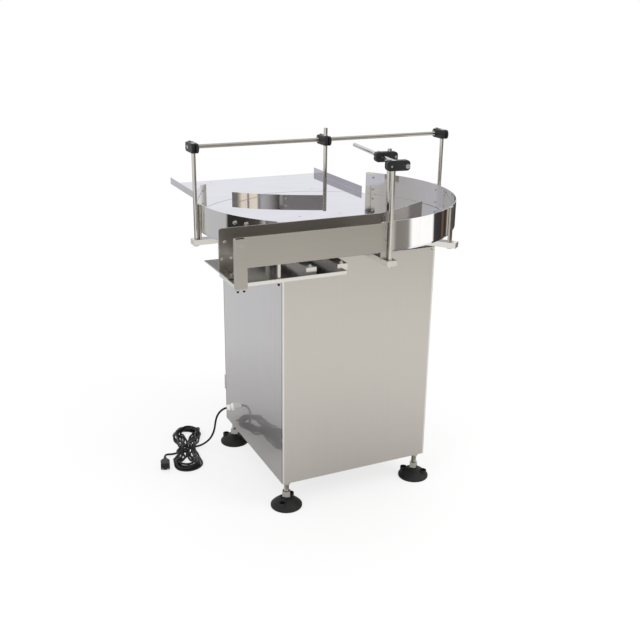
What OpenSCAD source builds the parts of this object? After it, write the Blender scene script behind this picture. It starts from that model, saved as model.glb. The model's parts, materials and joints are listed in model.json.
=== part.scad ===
// Rotary accumulation table: a driven disc on a sheet-metal cabinet, with rim walls,
// an infeed plate at the back and a guided outlet lane at the front.
// Origin: the disc's axis on the floor. +X right along the front, +Y to the back, +Z up.

/* [Cabinet] */
// Width of the cabinet, left to right
cabinet_w = 500; // [460:1:540]
// Depth of the cabinet, front to back
cabinet_d = 510; // [470:1:550]
// Height of the cabinet without its feet
cabinet_h = 700; // [600:1:800]
// Thickness of the cabinet's panels
panel_t = 1.5; // [1:0.1:2.5]
// Side of the square tube in the frame
tube_w = 40; // [36:1:46]
// Wall of the square tube
tube_wall = 2; // [1.5:0.1:3]
// Thickness of the bottom plate
bottom_t = 2; // [1.5:0.1:4]

/* [Feet] */
// Height of the cabinet's underside above the floor
floor_clearance = 88; // [80:1:110]
// Diameter of a foot's base
foot_d = 98; // [86:1:110]
// Height of a foot's domed base
foot_h = 30; // [26:1:34]
// Diameter of a foot's threaded stud
stud_d = 16; // [14:1:20]
// Diameter of a floor anchor hole in a foot
anchor_hole_d = 9; // [7:0.5:11]
// Distance between a foot's two anchor holes
anchor_pitch = 66; // [60:1:72]

/* [Turntable] */
// Diameter of the rotating disc
table_d = 800; // [760:1:860]
// Height of the disc's top above the mounting plate
disc_rise = 45; // [43:1:60]
// Thickness of the disc's sheet
disc_t = 4; // [3:0.5:6]
// Depth of the disc's turned-down rim
disc_rim_h = 12; // [8:1:16]
// Diameter of the hub's flange under the disc
hub_d = 180; // [140:1:220]
// Diameter of the main shaft
shaft_d = 35; // [28:1:40]

/* [Rim walls] */
// Gap between the disc and the rim walls
wall_gap = 2.4; // [1.5:0.1:4]
// Thickness of the rim walls
wall_t = 1.6; // [1:0.1:3]
// Height of the rim walls above the disc
wall_h = 75; // [60:1:100]
// Depth of the rim walls below the disc's top
wall_below = 5; // [3:0.5:8]
// Angle at which the left wall stops beside the outlet lane
wall_left_end = 226; // [215:1:227]

/* [Supports] */
// Thickness of the mounting plate on the cabinet
plate_t = 12; // [8:1:16]
// Distance of the mounting plate's edge inside the cabinet's sides
plate_inset = 5; // [3:1:15]
// Width of the support arms
arm_w = 30; // [26:1:36]
// Thickness of the support arms
arm_t = 16; // [12:1:20]
// Width of the wall posts
post_w = 28; // [24:1:32]
// Thickness of the wall posts
post_t = 6; // [4:0.5:8]
// Diameter of the guide rods
rod_d = 12; // [10:0.5:14]

/* [Clamps] */
// Length of a cross clamp
clamp_l = 66; // [60:1:80]
// Thickness of a cross clamp
clamp_t = 22; // [18:1:26]
// Height of a cross clamp
clamp_h = 28; // [24:1:34]
// Distance between a clamp's two bores
bore_gap = 22; // [19:1:26]
// Width of a clamp's slits
slit_w = 2; // [1:0.5:3]

/* [Arc guide] */
// Height of the cross rod above the disc
cross_rod_h = 237; // [210:1:260]
// Height of the arc guide's strips
arc_strip_h = 48; // [36:1:60]
// Gap between the disc and the arc guide
arc_lift = 20; // [16:1:30]
// Heading of the arc guide's flat strip in plan
arc_heading = 156; // [145:1:170]
// Length of the flat strip from the rod
arc_flat_l = 136; // [110:1:160]
// Bend radius of the curved strip
arc_bend_r = 450; // [350:5:600]
// Angle of the curved strip's bend
arc_bend = 20; // [12:1:24]

/* [Outlet lane] */
// Distance of the outer guide's front face from the disc's axis
lane_front = 417; // [415:1:419]
// Clear width of the lane
lane_w = 108; // [95:1:110]
// Reach of the lane to the left of the disc's axis
lane_reach = 452; // [440:1:480]
// Thickness of the lane's inner strip
strip_t = 3; // [2:0.5:4]
// Thickness of the sheet guides
guide_t = 2; // [1.5:0.1:3]
// Running gap between the guides and the disc
guide_lift = 2; // [1.5:0.5:5]
// Height of the lane clamps above the disc
lane_clamp_h = 229; // [205:1:250]
// Swivel of the lane clamps about the front rod
lane_swivel = 7.5; // [5:0.5:10]
// Fold of the strip's extension
fold_deg = 16; // [12:1:20]
// Bend radius of the strip's extension
extension_r = 400; // [320:5:500]
// Angle of the extension's bend
extension_bend = 12; // [9:1:15]
// Length of the extension's straight end
extension_l = 130; // [100:1:140]
// Thickness of the lane's floor plate
dead_plate_t = 5; // [3:0.5:6]
// Thickness of the tray's sheet
tray_t = 2; // [1.5:0.1:3]
// Depth of the tray's turned-down lips
tray_lip = 10; // [8:1:11]

/* [Infeed] */
// Width of the infeed plate over its flanges
infeed_w = 580; // [540:1:600]
// Distance of the infeed plate's far edge from the disc's axis
infeed_reach = 700; // [640:1:760]
// Thickness of the infeed plate's sheet
infeed_t = 2; // [1.5:0.1:3]
// Height of the infeed plate's side flanges
infeed_flange = 22; // [15:1:30]

/* [Hidden] */
$fn = 96;

// Clearances: flat seats, running fits of rods, moving neighbours
seat = 0.1;
fit = 0.05;
run = 0.3;

// Levels
cabinet_z = floor_clearance;
cabinet_top = cabinet_z + cabinet_h;
plate_top = cabinet_top + plate_t;
arm_top = plate_top + arm_t;
disc_top = plate_top + disc_rise;
disc_under = disc_top - disc_t;
wall_bottom = disc_top - wall_below;
wall_top = disc_top + wall_h;
cross_z = disc_top + cross_rod_h;
lane_z = disc_top + lane_clamp_h;
guide_bottom = disc_top + guide_lift;

// Cabinet
half_w = cabinet_w / 2;
half_d = cabinet_d / 2;
frame_x = half_w - panel_t;
frame_y = half_d - panel_t;
upright_x = frame_x - tube_w / 2;
upright_y = frame_y - tube_w / 2;
plug_h = 20;
bottom_top = cabinet_z + tube_w + bottom_t;

// Radii about the disc's axis
disc_r = table_d / 2;
wall_r = disc_r + wall_gap;
wall_out_r = wall_r + wall_t;
post_r = wall_out_r + seat;
post_out_r = post_r + post_t;
rod_r = post_out_r + 0.9 + rod_d / 2;
arm_r0 = 145;
arm_r1 = rod_r + rod_d / 2 + 7;

// Wall ends: the back ends meet the infeed plate, the front end is on the front post
wall_back_deg = acos((infeed_w / 2 + 2) / wall_r);
wall_front_deg = -90 - asin(22 / wall_r);
rear_post_deg = wall_back_deg - 2.5;
side_post_deg = -50;
front_post_shift = -10;

// Rods
rod_bore_d = rod_d + 2 * fit;
rod_degs = [180, -90, 0];
rod_tops = [cross_z + clamp_h / 2, lane_z + clamp_h / 2, cross_z + clamp_h / 2];

// Outlet lane
guide_back = -lane_front + guide_t;
strip_front = guide_back + lane_w;
strip_back = strip_front + strip_t;
strip_end = 30;
strip_h = wall_top - guide_bottom;
lane_left = -lane_reach;
guide_right = -26;
dead_left = lane_left + 52;
dead_right = guide_right - 4;
dead_back = strip_back + 4;
dead_under = disc_top - dead_plate_t;
tray_right = -131;
tray_back = -175;
tray_bar_xs = [-229, -137];
tray_bar_front = -lane_front + 15;
post_channel = [31, 17, 3];
standoff_spots = [[-324, guide_back + 10], [-324, strip_front - 22]];

// Lane guide: the short rod and clamps lie across the swivelled front clamp
along = [sin(lane_swivel), cos(lane_swivel)];
across = [cos(lane_swivel), -sin(lane_swivel)];
short_rod_base = [0, -rod_r] + bore_gap * across;
lane_rod_base = short_rod_base + bore_gap * across;
fold_point = [strip_end, strip_back + guide_t / 2];
bend_centre = fold_point + extension_r * [-sin(fold_deg), cos(fold_deg)];
seat_r = extension_r - guide_t / 2 - seat - rod_d / 2;
to_base = lane_rod_base - bend_centre;
lane_setting = -to_base * along - sqrt(pow(to_base * along, 2) - to_base * to_base + seat_r * seat_r);
lane_rod_at = lane_rod_base + lane_setting * along;
rear_clamp_at = lane_rod_at - bore_gap / 2 * across;
short_rod_l = 375;
short_rod_start = 4;
lane_travel = 40;
foot_plate = [40, 72, 3];
bracket_top = guide_bottom + 38;
slot_w = 9;
slot_bolt = [lane_left + 20, strip_back - 49];

// Infeed
infeed_half = infeed_w / 2;
infeed_gap = 2.5;
infeed_flange_y = 300;
infeed_bar_x = 90;
infeed_bar_end = infeed_reach - 50;
infeed_standoff_ys = [460, infeed_bar_end - 25];

// Drive
hub_t = 10;
hub_boss_d = shaft_d + 35;
bearing_h = disc_rise - disc_t - hub_t - 5;
gearbox = [110, 126, 124];
gearbox_under = cabinet_top - gearbox[2];
motor_z = cabinet_top - 86;
motor_d = 104;
motor_end = 196;
fan_cover_l = 36;
drive_box = [120, 160, 70];
drive_box_at = [-90, 40];
drive_fin_h = 14;

// Rear door and its hinges
door_gap = 0.3;
door_t = panel_t;
hinge_d = 10;
hinge_pin_d = 5;
knuckle_h = 25;
door_out = frame_y + door_gap + door_t;
hinge_at = [-half_w + 4, door_out + hinge_d / 2 + 1];
hinge_zs = [cabinet_z + 110, cabinet_top - 160];
lock_at = [upright_x - tube_w / 2 - 16, cabinet_z + cabinet_h / 2];
lock_d = 18;
cam = [12, 40, 3];
cam_y = frame_y - tube_w - 3 - cam[2];

// Operator controls on the right side
control_z = cabinet_top - 130;
control_ys = [-120, -60, 0];
ring_t = 3;
stem_d = 8;
stem_depth = 14;
stop_travel = 5;

// Mains lead: gland, route of the loose stretch, hank and plug
lead_d = 7;
gland_at = [-half_w, 178, 163];
gland_l = 26;
lead_points = [
    [gland_at[0] - gland_l, gland_at[1], gland_at[2]],
    [-284.5, 178, 161.6],
    [-292.5, 178, 157.9],
    [-300.5, 178.7, 151.2],
    [-307.8, 180.9, 139.5],
    [-311.7, 183.7, 126.4],
    [-313.6, 186.8, 112.8],
    [-314.5, 190.3, 99.3],
    [-315.3, 194.3, 85.9],
    [-316.9, 198.8, 72.8],
    [-319.6, 203.8, 60],
    [-323.4, 209.4, 47.7],
    [-328.5, 215.7, 36.3],
    [-335.2, 222.2, 25.9],
    [-343.7, 228.8, 16.9],
    [-353.8, 234.9, 9.5],
    [-365.8, 240.1, 4.8],
    [-379.5, 241.8, 3.6]
];
hank_at = [-403, 236];
hank_deg = 73;
hank_lobe_r = 50;
hank_reach = 112;
hank_waist = 52;
hank_h = 32;
plug_at = [-506, 150];
plug_deg = 255;
plug_size = [46, 30, 24];
plug_boot_l = 24;
tail_points = [
    [-423.9, 256, 3.8],
    [-425.4, 246.4, 3.8],
    [-428.9, 236, 3.8],
    [-434.3, 228.9, 3.9],
    [-442, 223.1, 4],
    [-452, 220.6, 3.9],
    [-462, 220.7, 3.9],
    [-471.7, 219.8, 5.2],
    [-480.5, 216.3, 8.5],
    [-487.6, 209.8, 11.1],
    [-491.8, 203.1, 11.9],
    plug_boot_end()
];
function plug_boot_end() = [
    plug_at[0] - (plug_size[0] / 2 + plug_boot_l) * cos(plug_deg),
    plug_at[1] - (plug_size[0] / 2 + plug_boot_l) * sin(plug_deg),
    plug_size[2] / 2
];

steel = "#c3c2be";
polished = "#d9dade";
dark_steel = "#6b6964";
plate_grey = "#b4b1ac";
black = "#26282b";
white = "#f0f0ee";
cast_grey = "#7d8288";

// Shared shapes

module rounded_rect(l, h, r) {
    square([l - 2 * r, h], center = true);
    square([l, h - 2 * r], center = true);
    for (x = [-1, 1], y = [-1, 1])
        translate([x * (l / 2 - r), y * (h / 2 - r)])
            circle(r);
}

module square_tube(l) {
    difference() {
        translate([-tube_w / 2, -tube_w / 2, 0])
            cube([tube_w, tube_w, l]);
        translate([-tube_w / 2 + tube_wall, -tube_w / 2 + tube_wall, -1])
            cube([tube_w - 2 * tube_wall, tube_w - 2 * tube_wall, l + 2]);
    }
}

module ring_arc(r, t, h, from, to) {
    rotate([0, 0, from])
        rotate_extrude(angle = to - from)
            translate([r, 0])
                square([t, h]);
}

module hex_bolt(across_flats, head_h, shank_d, shank_l) {
    translate([0, 0, -head_h])
        cylinder(d = across_flats / cos(30), h = head_h, $fn = 6);
    cylinder(d = shank_d, h = shank_l);
}

// Long axis X, upright bore at -X, cross bore along Y at +X, closed at the front by a wall
module cross_clamp(front_wall = -1) {
    end = clamp_l / 2 - bore_gap / 2 + 1;
    difference() {
        rotate([90, 0, 0])
            linear_extrude(clamp_t, center = true)
                rounded_rect(clamp_l, clamp_h, clamp_h / 3);
        translate([-bore_gap / 2, 0, 0])
            cylinder(d = rod_bore_d, h = clamp_h + 2, center = true);
        translate([bore_gap / 2, front_wall - clamp_t / 2, 0])
            rotate([-90, 0, 0])
                cylinder(d = rod_bore_d, h = clamp_t + 2);
        translate([-clamp_l / 2 - 1, -slit_w / 2, -clamp_h / 2 - 1])
            cube([end, slit_w, clamp_h + 2]);
        translate([bore_gap / 2, -clamp_t / 2 - 1, -slit_w / 2])
            cube([end, clamp_t + 2, slit_w]);
    }
}

module clamp_on_upright(x) {
    translate([x, 0, cross_z])
        rotate([0, 0, 90])
            translate([bore_gap / 2, 0, 0])
                cross_clamp();
}

module x_rod(from, to) {
    translate([from, 0, 0])
        rotate([0, 90, 0])
            cylinder(d = rod_d, h = to - from);
}

// A tube swept along points by parallel rings
function unit(v) = v / norm(v);
function heading(p, i) = unit(p[min(i + 1, len(p) - 1)] - p[max(i - 1, 0)]);
function side(h) = unit(cross(h, abs(h[2]) > 0.9 ? [0, 1, 0] : [0, 0, 1]));
function ring(p, i, d, n) =
    let (h = heading(p, i), a = side(h), b = cross(a, h))
    [for (k = [0 : n - 1]) p[i] + d / 2 * (cos(360 * k / n) * a + sin(360 * k / n) * b)];

module swept_tube(p, d, n = 10) {
    m = len(p);
    rings = [for (i = [0 : m - 1]) each ring(p, i, d, n)];
    sides = [for (i = [0 : m - 2], k = [0 : n - 1])
        [i * n + k, i * n + (k + 1) % n, (i + 1) * n + (k + 1) % n, (i + 1) * n + k]];
    first = [for (k = [0 : n - 1]) n - 1 - k];
    last = [for (k = [0 : n - 1]) (m - 1) * n + k];
    polyhedron(points = rings, faces = concat(sides, [first, last]), convexity = 6);
}

// A sheet strip on edge along a line in plan, mitred at the line's points
function left_of(v) = unit([-v[1], v[0]]);
function mitre(p, i) =
    let (
        before = left_of(p[max(i, 1)] - p[max(i, 1) - 1]),
        after = left_of(p[min(i + 1, len(p) - 1)] - p[min(i, len(p) - 2)]),
        middle = unit(before + after)
    )
    middle / (middle * before);

module bent_strip(p, t, h) {
    last = len(p) - 1;
    left = [for (i = [0 : last]) p[i] + t / 2 * mitre(p, i)];
    right = [for (i = [0 : last]) p[last - i] - t / 2 * mitre(p, last - i)];
    linear_extrude(h)
        polygon(concat(left, right));
}

// Cabinet

module cabinet_frame() {
    color(steel) {
        for (x = [-upright_x, upright_x], y = [-upright_y, upright_y]) {
            translate([x, y, cabinet_z])
                square_tube(cabinet_h);
            difference() {
                translate([x - tube_w / 2 + tube_wall, y - tube_w / 2 + tube_wall, cabinet_z])
                    cube([tube_w - 2 * tube_wall, tube_w - 2 * tube_wall, plug_h]);
                translate([x, y, cabinet_z - 1])
                    cylinder(d = stud_d + 4 * fit, h = plug_h + 2);
            }
        }
        for (z = [cabinet_z + tube_w / 2, cabinet_top - tube_w / 2]) {
            for (y = [-upright_y, upright_y])
                translate([-upright_x + tube_w / 2 + seat, y, z])
                    rotate([0, 90, 0])
                        square_tube(2 * upright_x - tube_w - 2 * seat);
            for (x = [-upright_x, upright_x])
                translate([x, upright_y - tube_w / 2 - seat, z])
                    rotate([90, 0, 0])
                        square_tube(2 * upright_y - tube_w - 2 * seat);
        }
    }
}

module front_panel() {
    color(plate_grey)
        translate([-half_w, -half_d, cabinet_z])
            cube([cabinet_w, panel_t, cabinet_h]);
}

module side_sheet(x) {
    translate([x, -frame_y, cabinet_z])
        cube([panel_t, 2 * frame_y, cabinet_h]);
}

module left_panel() {
    color(polished)
        difference() {
            side_sheet(-half_w);
            translate([-half_w - 1, gland_at[1], gland_at[2]])
                rotate([0, 90, 0])
                    cylinder(d = 16 + 2 * fit, h = panel_t + 2);
        }
}

module right_panel() {
    color(plate_grey)
        difference() {
            side_sheet(half_w - panel_t);
            for (y = control_ys)
                translate([half_w - panel_t - 1, y, control_z])
                    rotate([0, 90, 0])
                        cylinder(d = 22 + 2 * fit, h = panel_t + 2);
        }
}

module bottom_plate() {
    inner_x = upright_x - tube_w / 2 - 1;
    inner_y = upright_y - tube_w / 2 - 1;
    color(steel)
        translate([0, 0, cabinet_z + tube_w])
            linear_extrude(bottom_t) {
                square([2 * inner_x, 2 * frame_y - 4], center = true);
                square([2 * frame_x - 4, 2 * inner_y], center = true);
            }
}

module mounting_plate() {
    color(steel)
        difference() {
            translate([0, 0, cabinet_top])
                linear_extrude(plate_t)
                    square([cabinet_w - 2 * plate_inset, cabinet_d - 2 * plate_inset], center = true);
            translate([0, 0, cabinet_top - 1])
                cylinder(d = shaft_d + 6, h = plate_t + 2);
        }
}

// Supports

module radial_arm(deg, bolt_rs) {
    rotate([0, 0, deg])
        difference() {
            translate([arm_r0, -arm_w / 2, plate_top])
                cube([arm_r1 - arm_r0, arm_w, arm_t]);
            for (r = bolt_rs)
                translate([r, 0, plate_top - 1])
                    cylinder(d = 8 + 2 * fit, h = arm_t + 2);
        }
}

module straight_bar(x, from, to, bolt_y) {
    difference() {
        translate([x - arm_w / 2, from, plate_top])
            cube([arm_w, to - from, arm_t]);
        translate([x, bolt_y, plate_top - 1])
            cylinder(d = 8 + 2 * fit, h = arm_t + 2);
    }
}

tray_bar_bolt_y = tray_bar_front + 9;
post_mid_r = post_r + post_t / 2;

module support_arms() {
    color(polished) {
        for (deg = rod_degs)
            radial_arm(deg, [rod_r]);
        for (deg = [side_post_deg, rear_post_deg, 180 - rear_post_deg])
            radial_arm(deg, [post_mid_r]);
        for (x = tray_bar_xs)
            straight_bar(x, tray_bar_front, -arm_r0, tray_bar_bolt_y);
        for (x = [-infeed_bar_x, infeed_bar_x])
            straight_bar(x, arm_r0, infeed_bar_end, infeed_standoff_ys[1]);
    }
}

module wall_post(deg, shift = 0) {
    rotate([0, 0, deg])
        translate([post_r, shift - post_w / 2, arm_top])
            cube([post_t, post_w, wall_top - arm_top]);
}

module wall_posts() {
    color(steel) {
        wall_post(180);
        wall_post(-90, front_post_shift);
        for (deg = [0, side_post_deg, rear_post_deg, 180 - rear_post_deg])
            wall_post(deg);
    }
}

module upright_rods() {
    color(polished)
        for (i = [0 : 2])
            rotate([0, 0, rod_degs[i]])
                translate([rod_r, 0, arm_top])
                    cylinder(d = rod_d, h = rod_tops[i] - arm_top);
}

module cross_rod() {
    color(polished)
        translate([0, bore_gap, cross_z])
            x_rod(-rod_r - clamp_t / 2, rod_r + clamp_t / 2);
}

module short_rod() {
    color(polished)
        translate([short_rod_base[0], short_rod_base[1], lane_z])
            rotate([0, 0, 90 - lane_swivel])
                x_rod(short_rod_start - clamp_t / 2, short_rod_l - clamp_t / 2);
}

module left_clamp() {
    color(black) clamp_on_upright(-rod_r);
}

module right_clamp() {
    color(black) clamp_on_upright(rod_r);
}

module front_clamp() {
    color(black)
        translate([0, -rod_r, lane_z])
            rotate([0, 0, -lane_swivel])
                translate([bore_gap / 2, 0, 0])
                    cross_clamp(short_rod_start - seat);
}

module frame_fasteners() {
    color(steel) {
        for (deg = rod_degs)
            rotate([0, 0, deg])
                translate([rod_r, 0, plate_top])
                    hex_bolt(13, 5.5, 8, arm_t);
        for (deg = [side_post_deg, rear_post_deg, 180 - rear_post_deg])
            rotate([0, 0, deg])
                translate([post_mid_r, 0, plate_top])
                    hex_bolt(13, 5.5, 8, arm_t);
        for (x = tray_bar_xs)
            translate([x, tray_bar_bolt_y, plate_top - tray_t])
                hex_bolt(13, 5.5, 8, arm_t + tray_t);
        for (x = [-infeed_bar_x, infeed_bar_x])
            translate([x, infeed_standoff_ys[1], plate_top])
                hex_bolt(13, 5.5, 8, arm_t);
        translate([slot_bolt[0], slot_bolt[1], plate_top]) {
            cylinder(d = 7.5, h = foot_plate[2] + 2 * run);
            translate([0, 0, foot_plate[2] + 2 * run])
                cylinder(d = 13 / cos(30), h = 5.5, $fn = 6);
        }
        for (x = [-1, 1], y = [-1, 1])
            at_foot(x, y) lock_nut();
    }
}

// Rim walls, lane and infeed

module rim_wall_left() {
    color(steel)
        translate([0, 0, wall_bottom])
            ring_arc(wall_r, wall_t, wall_h + wall_below, 180 - wall_back_deg, wall_left_end);
}

module rim_wall_right() {
    color(steel)
        translate([0, 0, wall_bottom])
            ring_arc(wall_r, wall_t, wall_h + wall_below, wall_front_deg, wall_back_deg);
}

// A long plate with its right end joggled back onto the front post
module outer_guide() {
    tab_back = -post_out_r;
    color(plate_grey)
        translate([0, 0, wall_bottom - 1])
            linear_extrude(wall_top - wall_bottom + 1) {
                translate([lane_left + 2, -lane_front])
                    square([guide_right - lane_left - 2, guide_t]);
                translate([guide_right - guide_t, -lane_front])
                    square([guide_t, tab_back + lane_front]);
                translate([guide_right - guide_t, tab_back - guide_t])
                    square([17 + guide_t, guide_t]);
            }
}

module lane_post() {
    color(plate_grey)
        translate([lane_left, -lane_front - post_channel[1], plate_top - tray_lip])
            linear_extrude(wall_top - plate_top + tray_lip)
                difference() {
                    square([post_channel[0], post_channel[1]]);
                    translate([post_channel[2], post_channel[2]])
                        square([post_channel[0] - 2 * post_channel[2], post_channel[1]]);
                }
}

module outlet_tray() {
    inner_x = -half_w - 2;
    inner_y = -half_d - 4;
    color(polished)
        difference() {
            union() {
                translate([0, 0, plate_top - tray_t])
                    linear_extrude(tray_t) {
                        translate([lane_left, -lane_front])
                            square([tray_right - lane_left, lane_front + inner_y]);
                        translate([lane_left, -lane_front])
                            square([inner_x - lane_left, lane_front + tray_back]);
                    }
                translate([lane_left, -lane_front, plate_top - tray_lip])
                    cube([tray_right - lane_left, tray_t, tray_lip]);
                translate([lane_left, -lane_front, plate_top - tray_lip])
                    cube([tray_t, lane_front + strip_back, tray_lip]);
            }
            for (x = tray_bar_xs)
                translate([x, tray_bar_bolt_y, plate_top - tray_t - 1])
                    cylinder(d = 8 + 2 * fit, h = tray_t + 2);
        }
}

module dead_plate() {
    color(polished)
        translate([0, 0, dead_under])
            linear_extrude(dead_plate_t)
                difference() {
                    translate([dead_left, guide_back])
                        square([dead_right - dead_left, dead_back - guide_back]);
                    circle(disc_r + infeed_gap, $fn = 240);
                }
}

module standoffs() {
    color(polished) {
        for (spot = standoff_spots)
            translate([spot[0], spot[1], plate_top])
                cylinder(d = rod_d, h = dead_under - plate_top);
        for (x = [-infeed_bar_x, infeed_bar_x], y = infeed_standoff_ys)
            translate([x, y, arm_top])
                cylinder(d = rod_d, h = disc_top - infeed_t - arm_top);
    }
}

module infeed_plate() {
    color(polished) {
        translate([0, 0, disc_top - infeed_t])
            linear_extrude(infeed_t)
                difference() {
                    translate([-infeed_half, 0])
                        square([infeed_w, infeed_reach]);
                    circle(disc_r + infeed_gap, $fn = 240);
                }
        for (x = [-infeed_half, infeed_half - infeed_t])
            translate([x, infeed_flange_y, disc_top - infeed_t])
                cube([infeed_t, infeed_reach - infeed_flange_y, infeed_flange + infeed_t]);
    }
}

// Drive

module bearing_housing() {
    color(cast_grey)
        translate([0, 0, plate_top])
            difference() {
                union() {
                    linear_extrude(12)
                        rounded_rect(96, 96, 14);
                    cylinder(d1 = 84, d2 = 74, h = bearing_h);
                }
                translate([0, 0, -1])
                    cylinder(d = shaft_d + 2 * fit, h = bearing_h + 2);
                for (x = [-36, 36], y = [-36, 36])
                    translate([x, y, -1])
                        cylinder(d = 11, h = 14);
            }
}

module worm_gearbox() {
    color(cast_grey)
        difference() {
            union() {
                translate([0, 0, gearbox_under])
                    linear_extrude(gearbox[2])
                        rounded_rect(gearbox[0], gearbox[1], 18);
                translate([0, 0, gearbox_under - 8])
                    cylinder(d = 76, h = 10);
                translate([gearbox[0] / 2 - 1, 0, motor_z])
                    rotate([0, 90, 0])
                        cylinder(d = 124, h = 9);
            }
            translate([0, 0, gearbox_under - 10])
                cylinder(d = shaft_d + 2 * fit, h = gearbox[2] + 20);
            for (z = [gearbox_under + 14 : 16 : cabinet_top - 14])
                for (y = [-1, 1])
                    translate([-gearbox[0] / 2 + 20, y * gearbox[1] / 2 - 2, z])
                        cube([gearbox[0] - 40, 4, 7]);
        }
}

module drive_motor() {
    flange_x = gearbox[0] / 2 + 8;
    body_l = motor_end - fan_cover_l - flange_x;
    fins = 24;
    color(cast_grey)
        translate([flange_x, 0, motor_z]) {
            rotate([0, 90, 0]) {
                cylinder(d = 120, h = 10);
                cylinder(d = motor_d - 12, h = body_l);
            }
            for (i = [0 : fins - 1])
                rotate([i * 360 / fins, 0, 0])
                    translate([9, -1.5, motor_d / 2 - 8])
                        cube([body_l - 9, 3, 8]);
            translate([24, -32, motor_d / 2 - 10])
                cube([56, 64, 32]);
        }
}

module motor_fan_cover() {
    color(black)
        translate([motor_end - fan_cover_l, 0, motor_z])
            rotate([0, 90, 0])
                difference() {
                    cylinder(d = motor_d + 4, h = fan_cover_l);
                    for (r = [18, 30, 42])
                        translate([0, 0, fan_cover_l - 4])
                            difference() {
                                cylinder(r = r + 3, h = 6);
                                translate([0, 0, -1])
                                    cylinder(r = r - 3, h = 8);
                            }
                }
}

module speed_controller() {
    color(cast_grey)
        translate([drive_box_at[0] - drive_box[0] / 2, drive_box_at[1] - drive_box[1] / 2, bottom_top]) {
            cube(drive_box);
            for (y = [10 : 14 : drive_box[1] - 10])
                translate([0, y - 1.5, drive_box[2]])
                    cube([drive_box[0], 3, drive_fin_h]);
        }
}

module hub_flange() {
    color(steel)
        translate([0, 0, disc_under - hub_t])
            difference() {
                union() {
                    cylinder(d = hub_d, h = hub_t);
                    translate([0, 0, -3])
                        cylinder(d = hub_boss_d, h = 4);
                }
                translate([0, 0, -4])
                    cylinder(d = shaft_d + 2 * fit, h = hub_t + 6);
            }
}

module main_shaft() {
    color(steel)
        translate([0, 0, gearbox_under - 14])
            cylinder(d = shaft_d, h = disc_under - gearbox_under + 14);
}

module turntable_disc() {
    edge = 1.5;
    skirt = 3;
    color(polished)
        translate([0, 0, disc_top])
            rotate_extrude($fn = 240)
                polygon([
                    [0, 0], [disc_r - edge, 0], [disc_r, -edge], [disc_r, -disc_rim_h],
                    [disc_r - skirt, -disc_rim_h], [disc_r - skirt, -disc_t], [0, -disc_t]
                ]);
}

// Feet

module at_foot(sx, sy) {
    translate([sx * upright_x, sy * upright_y, 0])
        children();
}

module foot_base() {
    hub_r = stud_d / 2 + 9;
    pad_h = 6;
    pocket_d = anchor_hole_d + 9;
    rim = foot_d / 2 - hub_r;
    dome = [for (t = [0 : 0.125 : 1])
        [hub_r + rim * (1 - t), pad_h + (foot_h - pad_h) * t * (1.4 - 0.4 * t)]];
    color(black)
        difference() {
            union() {
                rotate_extrude()
                    polygon(concat([[0, 0], [foot_d / 2 - 1, 0], [foot_d / 2, 1]], dome, [[0, foot_h]]));
                for (y = [-1, 1])
                    translate([0, y * anchor_pitch / 2, pad_h])
                        cylinder(d = pocket_d + 4, h = foot_h - pad_h - 3);
            }
            translate([0, 0, foot_h - 12])
                cylinder(d = stud_d + 2 * fit, h = 13);
            for (y = [-1, 1])
                translate([0, y * anchor_pitch / 2, 0]) {
                    translate([0, 0, -1])
                        cylinder(d = anchor_hole_d, h = foot_h);
                    translate([0, 0, pad_h + 2])
                        cylinder(d = pocket_d, h = foot_h);
                }
        }
}

module foot_stud() {
    color(steel) {
        translate([0, 0, foot_h - 12 + seat])
            cylinder(d = stud_d, h = cabinet_z + plug_h + 40 - foot_h + 12);
        translate([0, 0, foot_h + seat])
            cylinder(d = (stud_d + 8) / cos(30), h = 22, $fn = 6);
    }
}

module lock_nut() {
    translate([0, 0, cabinet_z - 10])
        difference() {
            cylinder(d = (stud_d + 8) / cos(30), h = 10, $fn = 6);
            translate([0, 0, -1])
                cylinder(d = stud_d + 2 * run, h = 12);
        }
}

module foot_base_fl() { at_foot(-1, -1) rotate([0, 0, -45]) foot_base(); }
module foot_base_fr() { at_foot(1, -1) rotate([0, 0, 45]) foot_base(); }
module foot_base_bl() { at_foot(-1, 1) rotate([0, 0, 45]) foot_base(); }
module foot_base_br() { at_foot(1, 1) rotate([0, 0, -45]) foot_base(); }
module foot_stud_fl() { at_foot(-1, -1) foot_stud(); }
module foot_stud_fr() { at_foot(1, -1) foot_stud(); }
module foot_stud_bl() { at_foot(-1, 1) foot_stud(); }
module foot_stud_br() { at_foot(1, 1) foot_stud(); }

// Arc guide on the cross rod

arc_bottom = disc_top + arc_lift;
arc_side = rod_d / 2 + seat;

module middle_clamp() {
    color(black) clamp_on_upright(0);
}

module arc_rod() {
    color(polished)
        translate([0, 0, arc_bottom])
            cylinder(d = rod_d, h = cross_z + clamp_h / 2 + 24 - arc_bottom);
}

module arc_strip() {
    color(dark_steel)
        rotate([0, 0, arc_heading])
            translate([-rod_d / 2, -arc_side - strip_t, arc_bottom])
                cube([arc_flat_l + rod_d / 2, strip_t, arc_strip_h]);
}

// Bent all along, and tangent to the flat strip in the middle of their lap
module arc_curve() {
    lap = 30;
    lap_deg = asin(lap / 2 / arc_bend_r);
    back = arc_side + strip_t + guide_t + seat;
    color(polished)
        rotate([0, 0, arc_heading])
            translate([arc_flat_l - lap / 2, -back - arc_bend_r, arc_bottom])
                ring_arc(arc_bend_r, guide_t, arc_strip_h, 90 - arc_bend - lap_deg, 90 + lap_deg);
}

// Lane guide on the short rod

module lane_clamp() {
    color(black)
        translate([rear_clamp_at[0], rear_clamp_at[1], lane_z])
            rotate([0, 0, 180 - lane_swivel])
                cross_clamp();
}

module lane_rod() {
    color(polished)
        translate([lane_rod_at[0], lane_rod_at[1], guide_bottom + 6])
            cylinder(d = rod_d, h = lane_z + clamp_h / 2 + 8 - guide_bottom - 6);
}

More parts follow.
